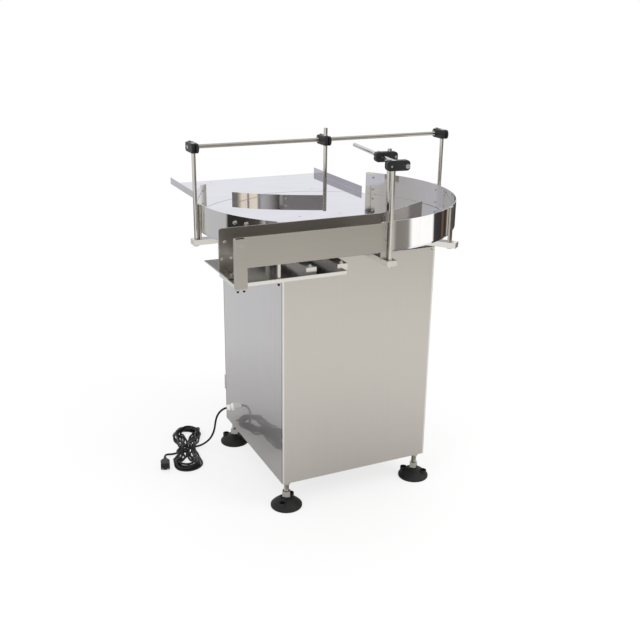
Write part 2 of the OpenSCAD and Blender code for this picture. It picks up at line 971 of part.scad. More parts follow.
module lane_strip() {
    corner_r = 8;
    color(dark_steel)
        translate([lane_left, strip_back, guide_bottom])
            rotate([90, 0, 0])
                linear_extrude(strip_t) {
                    translate([corner_r, 0])
                        square([strip_end - lane_left - corner_r, strip_h]);
                    square([corner_r, strip_h - corner_r]);
                    translate([corner_r, strip_h - corner_r])
                        circle(corner_r);
                }
}

// Plan line of the extension: its lap on the strip, the fold, the bend and the straight end
function extension_line() =
    let (
        lap = 40,
        steps = 8,
        bent = [for (i = [0 : steps])
            let (turned = fold_deg + extension_bend * i / steps)
            extension_r * [sin(turned) - sin(fold_deg), cos(fold_deg) - cos(turned)]],
        out = fold_deg + extension_bend
    )
    concat([[-lap, 0]], bent, [bent[steps] + extension_l * [cos(out), sin(out)]]);

module lane_extension() {
    color(dark_steel)
        translate([fold_point[0], fold_point[1], guide_bottom])
            bent_strip(extension_line(), guide_t, strip_h);
}

// An angle behind the strip's left end, its foot slotted over a bolt in the tray
module lane_bracket() {
    foot_z = plate_top + run;
    slot_l = lane_travel + 3;
    color(dark_steel)
        difference() {
            union() {
                translate([lane_left, strip_back, foot_z])
                    cube([foot_plate[0], strip_t, bracket_top - foot_z]);
                translate([lane_left, strip_back + strip_t - foot_plate[1], foot_z])
                    cube([foot_plate[0], foot_plate[1], foot_plate[2]]);
            }
            translate([slot_bolt[0], slot_bolt[1], foot_z - 1])
                rotate([0, 0, -lane_swivel]) {
                    for (y = [-3, slot_l])
                        translate([0, y, 0])
                            cylinder(d = slot_w, h = foot_plate[2] + 2);
                    translate([-slot_w / 2, -3, 0])
                        cube([slot_w, slot_l + 3, foot_plate[2] + 2]);
                }
        }
}

// Rear door, its hinges and its quarter-turn lock

module door_hinges() {
    color(steel)
        for (z = hinge_zs)
            translate([hinge_at[0], hinge_at[1], z]) {
                cylinder(d = hinge_d, h = knuckle_h);
                cylinder(d = hinge_pin_d, h = 2 * knuckle_h);
                translate([-hinge_d / 2 + 1, frame_y - hinge_at[1], 0])
                    cube([3, hinge_at[1] - frame_y, knuckle_h]);
            }
}

module rear_door() {
    left = hinge_at[0] + 1;
    sill = 4;
    color(plate_grey)
        difference() {
            union() {
                translate([left, frame_y + door_gap, cabinet_z + sill])
                    cube([half_w - 1 - left, door_t, cabinet_h - 2 * sill]);
                for (z = hinge_zs)
                    translate([hinge_at[0], hinge_at[1], z + knuckle_h + run]) {
                        cylinder(d = hinge_d, h = knuckle_h);
                        translate([0, door_out - hinge_at[1], 0])
                            cube([30, 2, knuckle_h]);
                        translate([0, door_out - hinge_at[1], 0])
                            cube([hinge_d / 2, hinge_at[1] - door_out, knuckle_h]);
                    }
            }
            for (z = hinge_zs)
                translate([hinge_at[0], hinge_at[1], z + knuckle_h])
                    cylinder(d = hinge_pin_d + 2 * fit, h = knuckle_h + 2);
            translate([lock_at[0], frame_y, lock_at[1]])
                rotate([-90, 0, 0])
                    cylinder(d = lock_d + 2 * fit, h = 10);
        }
}

module door_lock() {
    barrel_y = cam_y + cam[2] + seat;
    color(steel)
        translate([lock_at[0], 0, lock_at[1]]) {
            difference() {
                union() {
                    translate([0, barrel_y, 0])
                        rotate([-90, 0, 0])
                            cylinder(d = lock_d, h = door_out + run - barrel_y);
                    translate([0, door_out + run, 0])
                        rotate([-90, 0, 0])
                            cylinder(d = lock_d + 10, h = 5);
                }
                translate([-1.5, door_out + run + 2.5, -lock_d / 2])
                    cube([3, 4, lock_d]);
            }
            translate([-cam[0] / 2, cam_y, -cam[0] / 2])
                cube([cam[0], cam[2], cam[1]]);
        }
}

// Operator controls: fixed bases through the right panel, moving heads outside

module control_base() {
    rotate([0, 90, 0])
        difference() {
            union() {
                cylinder(d = 30, h = ring_t);
                translate([0, 0, -panel_t - 8])
                    cylinder(d = 22, h = panel_t + 8);
                translate([0, 0, -panel_t - 6])
                    cylinder(d = 28, h = 6);
                translate([-14, -14, -panel_t - 36])
                    cube([28, 28, 29]);
            }
            translate([0, 0, ring_t - stem_depth - stop_travel - 2])
                cylinder(d = stem_d + 2 * fit, h = stem_depth + stop_travel + 3);
        }
}

module at_control(i) {
    translate([half_w, control_ys[i], control_z])
        children();
}

module control_bases() {
    color(black)
        for (i = [0 : 2])
            at_control(i) control_base();
}

module control_stem(gap) {
    translate([ring_t - stem_depth, 0, 0])
        rotate([0, 90, 0])
            cylinder(d = stem_d, h = stem_depth + gap + 1);
}

module stop_button() {
    gap = stop_travel + 1;
    color("#b3261e")
        at_control(0) {
            control_stem(gap);
            translate([ring_t + gap, 0, 0])
                rotate([0, 90, 0])
                    rotate_extrude()
                        polygon([[0, 0], [13, 0], [20, 6], [20, 12], [17, 15], [10, 17], [0, 18]]);
        }
}

module speed_knob() {
    color(black)
        at_control(1) {
            control_stem(run);
            translate([ring_t + run, 0, 0])
                rotate([0, 90, 0])
                    difference() {
                        union() {
                            cylinder(d = 28, h = 5);
                            cylinder(d = 22, h = 17);
                        }
                        for (a = [0 : 30 : 330])
                            rotate([0, 0, a])
                                translate([11.6, 0, 6])
                                    cylinder(d = 3, h = 12);
                        translate([-9, -0.8, 16])
                            cube([9, 1.6, 2]);
                    }
        }
}

module power_switch() {
    color(black)
        at_control(2) {
            control_stem(run);
            translate([ring_t + run, 0, 0]) {
                rotate([0, 90, 0])
                    cylinder(d = 24, h = 4);
                translate([4, -4, -12])
                    cube([12, 8, 24]);
            }
        }
}

// Mains lead

module cord_gland() {
    color(white)
        translate(gland_at)
            rotate([0, -90, 0]) {
                translate([0, 0, -panel_t - 8])
                    cylinder(d = 16, h = panel_t + 9);
                cylinder(d = 24 / cos(30), h = 6, $fn = 6);
                translate([0, 0, 6])
                    cylinder(d = 19, h = 10);
                translate([0, 0, 16])
                    cylinder(d1 = 22, d2 = 14, h = gland_l - 16);
            }
}

module cord_lead() {
    color(black) swept_tube(lead_points, lead_d);
}

module cord_hank() {
    color(black)
        translate([hank_at[0], hank_at[1], 0])
            rotate([0, 0, hank_deg])
                linear_extrude(hank_h) {
                    for (x = [-hank_reach, hank_reach])
                        translate([x, 0])
                            circle(hank_lobe_r);
                    square([2 * hank_reach, hank_waist], center = true);
                }
}

module cord_tail() {
    color(black) swept_tube(tail_points, lead_d);
}

module mains_plug() {
    color(black)
        translate([plug_at[0], plug_at[1], plug_size[2] / 2])
            rotate([0, 0, plug_deg]) {
                translate([-plug_size[0] / 2, 0, 0])
                    rotate([0, 90, 0])
                        linear_extrude(plug_size[0])
                            rounded_rect(plug_size[2], plug_size[1], 7);
                translate([-plug_size[0] / 2 - plug_boot_l, 0, 0])
                    rotate([0, 90, 0])
                        cylinder(d1 = lead_d + 2, d2 = 15, h = plug_boot_l);
                for (y = [-8, 8])
                    translate([plug_size[0] / 2, y - 3, -1])
                        cube([17, 6, 2]);
            }
}

cabinet_frame();
front_panel();
left_panel();
right_panel();
bottom_plate();
mounting_plate();
support_arms();
wall_posts();
upright_rods();
cross_rod();
short_rod();
left_clamp();
right_clamp();
front_clamp();
rim_wall_left();
rim_wall_right();
outer_guide();
lane_post();
outlet_tray();
dead_plate();
standoffs();
infeed_plate();
bearing_housing();
worm_gearbox();
drive_motor();
motor_fan_cover();
speed_controller();
frame_fasteners();
door_hinges();
control_bases();
cord_gland();
cord_lead();
cord_hank();
cord_tail();
mains_plug();
turntable_disc();
hub_flange();
main_shaft();
middle_clamp();
arc_rod();
arc_strip();
arc_curve();
lane_clamp();
lane_rod();
lane_strip();
lane_extension();
lane_bracket();
foot_base_fl();
foot_base_fr();
foot_base_bl();
foot_base_br();
foot_stud_fl();
foot_stud_fr();
foot_stud_bl();
foot_stud_br();
rear_door();
door_lock();
stop_button();
speed_knob();
power_switch();
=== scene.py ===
import json
import math

import bmesh
import bpy
from mathutils import Matrix, Vector


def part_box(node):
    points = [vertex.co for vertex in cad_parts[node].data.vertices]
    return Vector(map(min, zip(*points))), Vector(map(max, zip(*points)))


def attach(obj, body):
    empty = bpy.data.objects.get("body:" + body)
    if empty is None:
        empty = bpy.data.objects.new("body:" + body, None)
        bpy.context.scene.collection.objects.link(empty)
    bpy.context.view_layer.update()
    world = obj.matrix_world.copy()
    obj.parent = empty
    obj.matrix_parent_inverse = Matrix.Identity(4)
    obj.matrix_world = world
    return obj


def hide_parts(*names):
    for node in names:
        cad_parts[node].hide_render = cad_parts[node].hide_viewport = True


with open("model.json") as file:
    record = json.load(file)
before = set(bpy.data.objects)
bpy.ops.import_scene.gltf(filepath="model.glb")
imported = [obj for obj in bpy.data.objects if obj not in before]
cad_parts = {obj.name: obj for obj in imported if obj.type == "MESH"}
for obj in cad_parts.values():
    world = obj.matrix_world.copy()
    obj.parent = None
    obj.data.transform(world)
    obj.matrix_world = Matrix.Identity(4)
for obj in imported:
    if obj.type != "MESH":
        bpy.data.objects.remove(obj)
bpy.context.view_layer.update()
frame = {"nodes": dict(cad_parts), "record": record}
nodes = frame["nodes"]
record = frame["record"]
bodyOf = {n: b for b, members in record["behaviour"]["bodies"].items() for n in members}
corners = ("fl", "fr", "bl", "br")
mm = 0.001
print("frame loaded:", len(nodes), "nodes")


# small helpers

def hexColour(code):
    parts = [int(code[i:i + 2], 16) / 255 for i in (1, 3, 5)]
    linear = [c / 12.92 if c <= 0.04045 else ((c + 0.055) / 1.055) ** 2.4 for c in parts]
    return (*linear, 1.0)


def addNode(tree, kind, inputs=None, **settings):
    made = tree.nodes.new(kind)
    for name, value in settings.items():
        setattr(made, name, value)
    for socket, value in (inputs or {}).items():
        if isinstance(value, bpy.types.NodeSocket):
            tree.links.new(value, made.inputs[socket])
        else:
            made.inputs[socket].default_value = value
    return made


def startMaterial(name, sockets):
    material = bpy.data.materials.new(name)
    material.use_nodes = True
    shader = material.node_tree.nodes["Principled BSDF"]
    for socket, value in sockets.items():
        shader.inputs[socket].default_value = value
    return material, material.node_tree, shader


def setRamp(ramp, stops):
    elements = ramp.color_ramp.elements
    while len(elements) < len(stops):
        elements.new(0.5)
    for element, (place, colour, *glow) in zip(elements, stops):
        element.position = place
        element.color = (*hexColour(colour)[:3], glow[0] if glow else 0.0)


def addPiece(name, bm, material, body, smooth=35):
    mesh = bpy.data.meshes.new(name)
    bm.to_mesh(mesh)
    bm.free()
    mesh.materials.append(material)
    mesh.shade_smooth()
    mesh.set_sharp_from_angle(angle=math.radians(smooth))
    piece = bpy.data.objects.new(name, mesh)
    bpy.context.scene.collection.objects.link(piece)
    # keeps the flats flat beside their eased edges
    flats = piece.modifiers.new("flats", "WEIGHTED_NORMAL")
    flats.keep_sharp = True
    flats.weight = 100
    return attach(piece, body)


def facing(spot, axis, spin=0.0):
    turn = Vector(axis).normalized().to_track_quat("Z", "Y").to_matrix().to_4x4()
    return Matrix.Translation(Vector(spot)) @ turn @ Matrix.Rotation(math.radians(spin), 4, "Z")


def turned(profile, steps=24):
    # lathe work: pairs of radius and height, spun round Z
    part = bmesh.new()
    spots = [part.verts.new((radius, 0, z)) for radius, z in profile]
    edges = [part.edges.new(pair) for pair in zip(spots, spots[1:])]
    bmesh.ops.spin(part, geom=spots + edges, cent=(0, 0, 0), axis=(0, 0, 1), dvec=(0, 0, 0), angle=2 * math.pi,
                   steps=steps, use_merge=True)
    bmesh.ops.remove_doubles(part, verts=part.verts[:], dist=0.001 * mm)
    return part


def stamp(bm, part, place):
    # joins a finished shape to its piece, at its place
    bmesh.ops.recalc_face_normals(part, faces=part.faces[:])
    part.transform(place)
    mesh = bpy.data.meshes.new("stamp")
    part.to_mesh(mesh)
    part.free()
    bm.from_mesh(mesh)
    bpy.data.meshes.remove(mesh)


def easeEdges(bm, edges, width, segments=2):
    bmesh.ops.bevel(bm, geom=edges, offset=width, offset_type="OFFSET", affect="EDGES", segments=segments,
                    profile=0.5, clamp_overlap=True, material=-1)


def addBox(bm, place, size, ease):
    made = bmesh.ops.create_cube(bm, size=1.0, matrix=place @ Matrix.Diagonal((*size, 1.0)))
    easeEdges(bm, list(dict.fromkeys(e for v in made["verts"] for e in v.link_edges)), ease, 3)


# camera

cameraSet = {
    "place": (-1.1751, -2.4412, 1.4761),
    "turn": -25.513,
    "down": 19.755,
    "roll": 0.808,
    "lens": 49.745,
    "sensor": 36.0,
}


def addCamera():
    turn, down, roll = (math.radians(cameraSet[k]) for k in ("turn", "down", "roll"))
    ahead = Vector((-math.sin(turn) * math.cos(down), math.cos(turn) * math.cos(down), -math.sin(down)))
    right = Vector((math.cos(turn), math.sin(turn), 0.0))
    up = right.cross(ahead)
    x = math.cos(roll) * right + math.sin(roll) * up
    y = -math.sin(roll) * right + math.cos(roll) * up
    data = bpy.data.cameras.new("photoCamera")
    data.lens = cameraSet["lens"]
    data.sensor_width = cameraSet["sensor"]
    eye = bpy.data.objects.new("photoCamera", data)
    bpy.context.scene.collection.objects.link(eye)
    eye.matrix_world = Matrix.Translation(cameraSet["place"]) @ Matrix((x, y, -ahead)).transposed().to_4x4()
    bpy.context.scene.camera = eye


addCamera()
print("camera placed")

# mains lead: one open spline from the gland through the hank to the plug's boot, in millimetres

leadSet = {
    "exit": (-0.276, 0.178, 0.163),
    "diameter": 7 * mm,
    "length": 5.18,
    "line": [
        (-276.0, 178.0, 163.0), (-282.7, 178.1, 162.7), (-296.1, 177.4, 158.0), (-308.4, 180.4, 141.4),
        (-313.0, 184.6, 122.0), (-314.5, 189.3, 102.4), (-315.2, 195.0, 82.9), (-318.2, 201.9, 64.2),
        (-323.4, 209.8, 46.2), (-331.3, 219.2, 30.1), (-343.0, 228.8, 16.5), (-357.9, 237.7, 5.9),
        (-377.6, 244.5, 3.5), (-397.3, 235.8, 5.5), (-410.7, 219.9, 3.5), (-432.9, 219.1, 3.8),
        (-448.0, 205.1, 3.5), (-460.3, 189.2, 4.0), (-469.8, 170.9, 3.6), (-471.7, 150.7, 3.7),
        (-470.5, 129.9, 3.6), (-457.6, 113.4, 3.7), (-441.2, 101.7, 3.7), (-420.3, 97.4, 3.6), (-401.5, 107.6, 3.7),
        (-391.2, 125.7, 3.6), (-392.4, 146.9, 3.7), (-402.9, 164.2, 3.5), (-411.6, 182.6, 5.6),
        (-408.8, 203.7, 3.5), (-400.7, 220.2, 13.1), (-402.3, 241.5, 12.2), (-395.5, 258.3, 3.5),
        (-393.5, 279.7, 6.9), (-377.4, 293.4, 3.5), (-372.4, 313.7, 6.8), (-353.8, 324.0, 11.4),
        (-347.2, 344.3, 7.7), (-355.6, 363.3, 5.0), (-374.7, 371.7, 5.5), (-394.6, 365.7, 9.9),
        (-404.6, 346.6, 14.3), (-405.5, 328.3, 4.7), (-413.6, 308.3, 3.5), (-403.2, 289.9, 3.8),
        (-399.1, 269.7, 3.5), (-411.4, 251.8, 7.1), (-407.0, 233.0, 16.8), (-413.3, 213.0, 12.9),
        (-416.6, 196.4, 3.5), (-425.7, 176.0, 5.0), (-446.3, 171.1, 3.5), (-462.1, 157.7, 4.7),
        (-464.5, 135.8, 3.5), (-453.4, 119.0, 7.5), (-437.5, 105.8, 9.1), (-416.0, 106.4, 4.5),
        (-400.8, 120.7, 3.5), (-397.8, 142.3, 3.7), (-412.1, 158.5, 3.8), (-411.3, 178.0, 15.0),
        (-404.6, 196.5, 9.3), (-393.2, 212.2, 3.5), (-387.3, 230.8, 9.4), (-378.3, 248.3, 14.0),
        (-369.6, 265.2, 3.5), (-365.5, 284.6, 4.0), (-367.3, 305.9, 3.5), (-353.1, 321.3, 3.7),
        (-341.7, 338.3, 3.6), (-344.2, 359.9, 3.7), (-358.7, 375.1, 3.6), (-379.6, 379.4, 3.7),
        (-397.9, 368.2, 3.6), (-404.6, 348.2, 3.8), (-395.4, 327.9, 3.5), (-404.3, 309.4, 8.1),
        (-405.5, 289.3, 13.8), (-412.4, 271.4, 4.0), (-416.7, 251.6, 3.5), (-411.5, 231.5, 8.5),
        (-423.2, 213.7, 14.1), (-430.6, 197.1, 3.5), (-444.1, 181.2, 5.5), (-460.3, 169.2, 5.9),
        (-470.9, 152.2, 13.5), (-478.3, 133.3, 8.0), (-474.9, 113.1, 3.5), (-461.6, 96.9, 4.2), (-442.7, 88.3, 3.5),
        (-421.9, 89.3, 3.7), (-403.1, 97.3, 3.6), (-388.4, 112.2, 3.7), (-383.4, 132.4, 3.6), (-383.6, 152.6, 3.7),
        (-382.4, 172.8, 3.7), (-379.0, 192.8, 3.8), (-382.1, 213.3, 3.5), (-378.8, 232.3, 11.5),
        (-367.8, 249.9, 11.9), (-355.1, 264.7, 5.3), (-347.4, 283.6, 4.2), (-339.4, 302.2, 3.6),
        (-332.6, 321.1, 3.7), (-328.2, 341.4, 3.6), (-336.2, 360.8, 3.7), (-348.7, 376.7, 3.6),
        (-367.5, 386.4, 3.7), (-388.4, 383.8, 3.6), (-406.1, 373.8, 3.7), (-419.1, 357.3, 3.6),
        (-421.0, 336.5, 3.6), (-419.2, 316.9, 3.8), (-416.7, 296.0, 4.5), (-413.7, 280.4, 18.4),
        (-410.6, 259.2, 20.6), (-418.3, 241.6, 11.6), (-425.1, 222.6, 10.9), (-436.1, 206.9, 22.0),
        (-443.5, 188.4, 13.2), (-460.8, 178.1, 7.0), (-474.1, 163.5, 17.1), (-474.0, 142.5, 20.5),
        (-473.5, 123.6, 11.5), (-461.8, 107.4, 4.8), (-444.9, 95.8, 7.6), (-424.2, 92.8, 10.0),
        (-406.0, 104.1, 12.4), (-396.3, 121.9, 9.8), (-391.0, 141.8, 14.2), (-388.8, 160.6, 4.7),
        (-397.5, 180.1, 3.5), (-393.4, 199.2, 12.1), (-394.4, 219.3, 11.6), (-393.6, 240.0, 13.9),
        (-388.8, 257.6, 3.5), (-384.4, 278.1, 4.2), (-371.0, 292.2, 13.1), (-357.8, 307.5, 9.8),
        (-343.1, 320.3, 3.5), (-334.4, 339.8, 7.3), (-340.8, 359.9, 11.1), (-357.6, 372.6, 11.7),
        (-378.3, 375.0, 12.5), (-397.7, 368.4, 17.1), (-411.2, 351.5, 16.2), (-410.7, 330.1, 14.5),
        (-397.9, 313.2, 16.0), (-396.6, 292.7, 11.2), (-403.3, 273.1, 12.1), (-417.5, 258.2, 11.1),
        (-427.6, 240.8, 11.2), (-436.8, 222.5, 12.1), (-437.0, 201.7, 10.1), (-428.1, 183.1, 13.6),
        (-434.0, 161.9, 9.3), (-452.2, 151.8, 7.8), (-464.6, 135.3, 12.3), (-462.6, 113.7, 13.0),
        (-447.0, 99.3, 14.5), (-425.7, 98.8, 15.0), (-409.2, 112.3, 12.5), (-405.7, 132.9, 7.1),
        (-417.3, 150.3, 3.5), (-419.0, 170.7, 4.6), (-416.1, 189.9, 11.3), (-406.3, 207.7, 13.5),
        (-395.1, 223.2, 21.2), (-389.1, 243.4, 19.7), (-381.7, 258.3, 6.1), (-376.5, 279.4, 9.4),
        (-357.1, 289.1, 13.7), (-352.6, 310.0, 15.9), (-339.3, 325.6, 11.5), (-338.5, 347.0, 16.2),
        (-352.2, 363.5, 16.9), (-372.8, 367.5, 13.4), (-390.8, 356.9, 9.2), (-397.7, 336.0, 8.8),
        (-392.6, 318.9, 20.0), (-397.0, 298.2, 23.6), (-391.0, 280.1, 13.4), (-397.2, 260.1, 9.6),
        (-401.0, 242.6, 22.0), (-416.1, 227.3, 22.3), (-436.6, 223.8, 18.7), (-450.0, 206.5, 18.4),
        (-449.4, 185.7, 22.2), (-451.2, 167.2, 10.5), (-464.4, 150.5, 12.1), (-467.9, 131.5, 20.6),
        (-458.4, 112.0, 21.0), (-438.7, 103.7, 18.9), (-418.2, 110.2, 19.0), (-406.9, 128.2, 16.3),
        (-410.5, 149.0, 11.7), (-399.3, 166.9, 12.1), (-399.9, 187.9, 11.8), (-394.1, 204.9, 23.1),
        (-399.6, 224.5, 29.0), (-397.0, 244.8, 22.9), (-384.2, 259.9, 17.2), (-368.1, 271.1, 12.2),
        (-354.2, 286.0, 11.4), (-338.7, 298.9, 11.6), (-328.3, 317.2, 10.3), (-330.0, 337.8, 11.6),
        (-333.6, 357.3, 16.3), (-348.2, 373.0, 17.7), (-369.6, 374.6, 21.5), (-386.9, 363.4, 17.1),
        (-403.7, 352.9, 22.2), (-414.2, 334.3, 24.6), (-414.9, 315.8, 13.0), (-419.1, 295.7, 16.4),
        (-425.5, 276.7, 16.0), (-422.7, 255.5, 14.9), (-426.4, 238.8, 28.2), (-424.0, 217.8, 29.0),
        (-431.2, 199.0, 24.0), (-439.7, 183.7, 13.9), (-445.0, 162.5, 13.4), (-460.0, 151.1, 22.9),
        (-473.2, 135.4, 25.9), (-476.3, 115.0, 18.2), (-464.2, 99.4, 10.0), (-445.7, 89.5, 12.9),
        (-425.3, 91.7, 18.0), (-409.1, 105.2, 19.8), (-401.4, 124.1, 17.0), (-400.0, 143.8, 11.5),
        (-393.7, 163.6, 15.2), (-387.3, 181.5, 7.0), (-387.4, 202.3, 5.7), (-386.3, 221.2, 13.7),
        (-377.9, 239.0, 19.9), (-369.8, 257.8, 16.2), (-359.7, 271.7, 4.4), (-354.6, 292.2, 3.5),
        (-343.1, 308.3, 8.2), (-333.7, 323.1, 18.4), (-324.8, 342.1, 21.2), (-325.2, 361.7, 12.0),
        (-338.2, 375.4, 3.5), (-353.4, 389.9, 5.8), (-374.5, 391.5, 9.9), (-391.9, 380.3, 13.4),
        (-405.0, 365.4, 7.0), (-414.4, 347.5, 8.6), (-422.7, 329.3, 14.2), (-429.4, 310.9, 3.6),
        (-421.0, 291.2, 3.6), (-423.1, 271.0, 3.9), (-423.7, 250.9, 3.7), (-429.2, 231.0, 3.5),
        (-447.1, 218.4, 4.8), (-468.3, 222.6, 3.5), (-485.9, 214.6, 11.8), (-493.2, 202.1, 12.0),
        (-493.8, 195.4, 12.0),
    ],
}


def addLead():
    data = bpy.data.curves.new("mainsLead", "CURVE")
    data.dimensions = "3D"
    data.bevel_depth = 1.0
    data.bevel_resolution = 4
    data.resolution_u = 6
    data.use_fill_caps = True
    line = leadSet["line"]
    spline = data.splines.new("NURBS")
    spline.points.add(len(line) - 1)
    for point, spot in zip(spline.points, line):
        point.co = (*[v * mm for v in spot], 1.0)
        point.radius = leadSet["diameter"] / 2
    spline.order_u = 4
    spline.use_endpoint_u = True
    spline.use_smooth = True
    lead = bpy.data.objects.new("mainsLead", data)
    bpy.context.scene.collection.objects.link(lead)
    return lead


lead = addLead()
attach(lead, bodyOf["cord_lead"])
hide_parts("cord_lead", "cord_hank", "cord_tail")
print("lead laid")

# finishes: sheet and bar steel first

steelFinishes = {
    # hairline stainless sheet, grain upright: soft warm grey, the streaks only just seen
    "uprightHairline": {
        "dark": "#dedbd7", "light": "#e4e1dd", "rough": (0.40, 0.46), "grainMm": (2.5, 2.5, 420), "bump": 0.02,
        "cloudMm": 260,
    },
    # the same sheet at the front, with a painted highlight line down its folded side edges
    "foldedFront": {
        "dark": "#dedbd7", "light": "#e4e1dd", "rough": (0.40, 0.46), "grainMm": (2.5, 2.5, 420), "bump": 0.02,
        "cloudMm": 260, "edges": (("X", 0.2445, "#ffffff"),),
    },
    # hairline stainless strip, grain along its length
    "levelHairline": {
        "dark": "#bdb9b3", "light": "#c6c2bc", "rough": (0.34, 0.42), "grainMm": (380, 2.2, 2.2), "bump": 0.01,
        "cloudMm": 200,
    },
    # the same strip in the lane, a darker copy of it: painted shade
    "shadedHairline": {
        "dark": "#b1aea8", "light": "#bbb8b2", "rough": (0.34, 0.42), "grainMm": (380, 2.2, 2.2), "bump": 0.01,
        "cloudMm": 160,
    },
    # tray: a soft mirror, its floor darker than its folded lips: painted shade on the floor, and a painted highlight
    # along the lips
    "polishedTray": {
        "dark": "#a09d98", "light": "#b0ada8", "rough": (0.2, 0.26), "grainMm": (200, 3, 3), "bump": 0.0,
        "cloudMm": 120,
        "edges": (("X", 0.4492, "#ecebe9"), ("Y", 0.4142, "#ecebe9")),
    },
    # blackened bolts: dark, with a dull oily glint
    "blackOxide": {
        "dark": "#232324", "light": "#323233", "rough": (0.3, 0.42), "grainMm": (2, 2, 2), "bump": 0.02,
        "cloudMm": 10,
    },
    # sheet still in its clear film: a faint sharp mirror over a soft one, with a painted shade line down its front
    # edge, in the gap at the corner
    "brightSheet": {
        "dark": "#c2c1c4", "light": "#cccbce", "rough": (0.28, 0.34), "grainMm": (4, 4, 500), "bump": 0.0,
        "cloudMm": 170, "film": 1.0, "edges": (("Y", 0.2462, "#858487"),),
    },
    # polished disc and plates: a clean mirror, faintly blue beside the hairline sheet
    "mirrorSheet": {
        "dark": "#dddce2", "light": "#e6e5ea", "rough": (0.04, 0.07), "grainMm": (90, 60, 60), "bump": 0.0,
        "cloudMm": 120,
    },
    # bright strip rolled to the rim: a mirror drawn out sideways
    "rolledWall": {
        "dark": "#eae9e7", "light": "#f1f0ee", "rough": (0.03, 0.05), "grainMm": (14, 14, 300), "bump": 0.0,
        "cloudMm": 90,
    },
    # polished guide strip with a brownish cast
    "darkPolish": {
        "dark": "#aca79f", "light": "#b9b4ac", "rough": (0.12, 0.2), "grainMm": (300, 3, 3), "bump": 0.0,
        "cloudMm": 140,
    },
    # centreless ground bar: sharp bands of light along it
    "groundBar": {
        "dark": "#d0cec9", "light": "#d8d6d1", "rough": (0.1, 0.13), "grainMm": (30, 30, 30), "bump": 0.0,
        "cloudMm": 60,
    },
    # cold drawn flat bar: bright, with fine draw lines
    "drawnBar": {
        "dark": "#e7e5e1", "light": "#eeece8", "rough": (0.22, 0.28), "grainMm": (60, 60, 3), "bump": 0.0,
        "cloudMm": 80,
    },
    # the same bar standing upright, its colour darker as painted shade
    "drawnPost": {
        "dark": "#b7b4ae", "light": "#c1beb8", "rough": (0.2, 0.26), "grainMm": (3, 3, 80), "bump": 0.0,
        "cloudMm": 80,
    },
    # welded tube and plate of the frame, mill finish: dull and a little blotchy
    "millSteel": {
        "dark": "#8f8d89", "light": "#aaa8a3", "rough": (0.34, 0.5), "grainMm": (14, 14, 90), "bump": 0.05,
        "cloudMm": 60,
    },
    # zinc plated screws and nuts: small bright glints
    "zincPlate": {
        "dark": "#cacaca", "light": "#e4e4e4", "rough": (0.22, 0.32), "grainMm": (2, 2, 2), "bump": 0.02,
        "cloudMm": 12,
    },
}


steelSet = {
    "filmRough": 0.03, "filmIor": 2.1,  # clear film over the sheet
    "cloudShare": 0.4,  # of the cloud in the grain
    "span": (0.3, 0.7),  # of the noise that is used
    "grainDeep": 0.3 * mm,
    "edgeFade": 0.8 * mm,
}


def steelMaterial(name):
    look = steelFinishes[name]
    low, high = steelSet["span"]
    material, tree, shader = startMaterial(name, {
        "Metallic": 1.0, "Coat Weight": look.get("film", 0.0), "Coat Roughness": steelSet["filmRough"],
        "Coat IOR": steelSet["filmIor"]})
    place = addNode(tree, "ShaderNodeTexCoord").outputs["Object"]
    grainScale = [1 / (size * mm) for size in look["grainMm"]]
    along = addNode(tree, "ShaderNodeMapping", {"Vector": place, "Scale": grainScale})
    grain = addNode(tree, "ShaderNodeTexNoise", {
        "Vector": along.outputs["Vector"], "Scale": 1.0, "Detail": 4.0, "Roughness": 0.6})
    cloud = addNode(tree, "ShaderNodeTexNoise", {
        "Vector": place, "Scale": 1 / (look["cloudMm"] * mm), "Detail": 2.0, "Roughness": 0.5})
    blended = addNode(tree, "ShaderNodeMix", {
        0: steelSet["cloudShare"], 2: grain.outputs["Fac"], 3: cloud.outputs["Fac"]}, data_type="FLOAT")
    tint = addNode(tree, "ShaderNodeValToRGB", {"Fac": blended.outputs[0]})
    setRamp(tint, [(low, look["dark"]), (high, look["light"])])
    sheen = addNode(tree, "ShaderNodeMapRange", {
        "Value": blended.outputs[0], "From Min": low, "From Max": high,
        "To Min": look["rough"][0], "To Max": look["rough"][1]})
    colour = tint.outputs["Color"]
    for axis, start, tone in look.get("edges", ()):
        # painted lines down the sheet's side edges: a light tone is a painted highlight where the sheet is folded, a
        # dark tone is painted shade where it meets the next sheet
        spot = addNode(tree, "ShaderNodeSeparateXYZ", {"Vector": place})
        reach = addNode(tree, "ShaderNodeMath", {0: spot.outputs[axis]}, operation="ABSOLUTE")
        line = addNode(tree, "ShaderNodeMapRange", {
            "Value": reach.outputs["Value"], "From Min": start, "From Max": start + steelSet["edgeFade"]})
        colour = addNode(tree, "ShaderNodeMix", {
            0: line.outputs["Result"], 6: colour, 7: hexColour(tone)}, data_type="RGBA").outputs[2]
    tree.links.new(colour, shader.inputs["Base Color"])
    tree.links.new(sheen.outputs["Result"], shader.inputs["Roughness"])
    if look["bump"]:
        relief = addNode(tree, "ShaderNodeBump", {
            "Strength": look["bump"], "Distance": steelSet["grainDeep"], "Height": grain.outputs["Fac"]})
        tree.links.new(relief.outputs["Normal"], shader.inputs["Normal"])
    return material


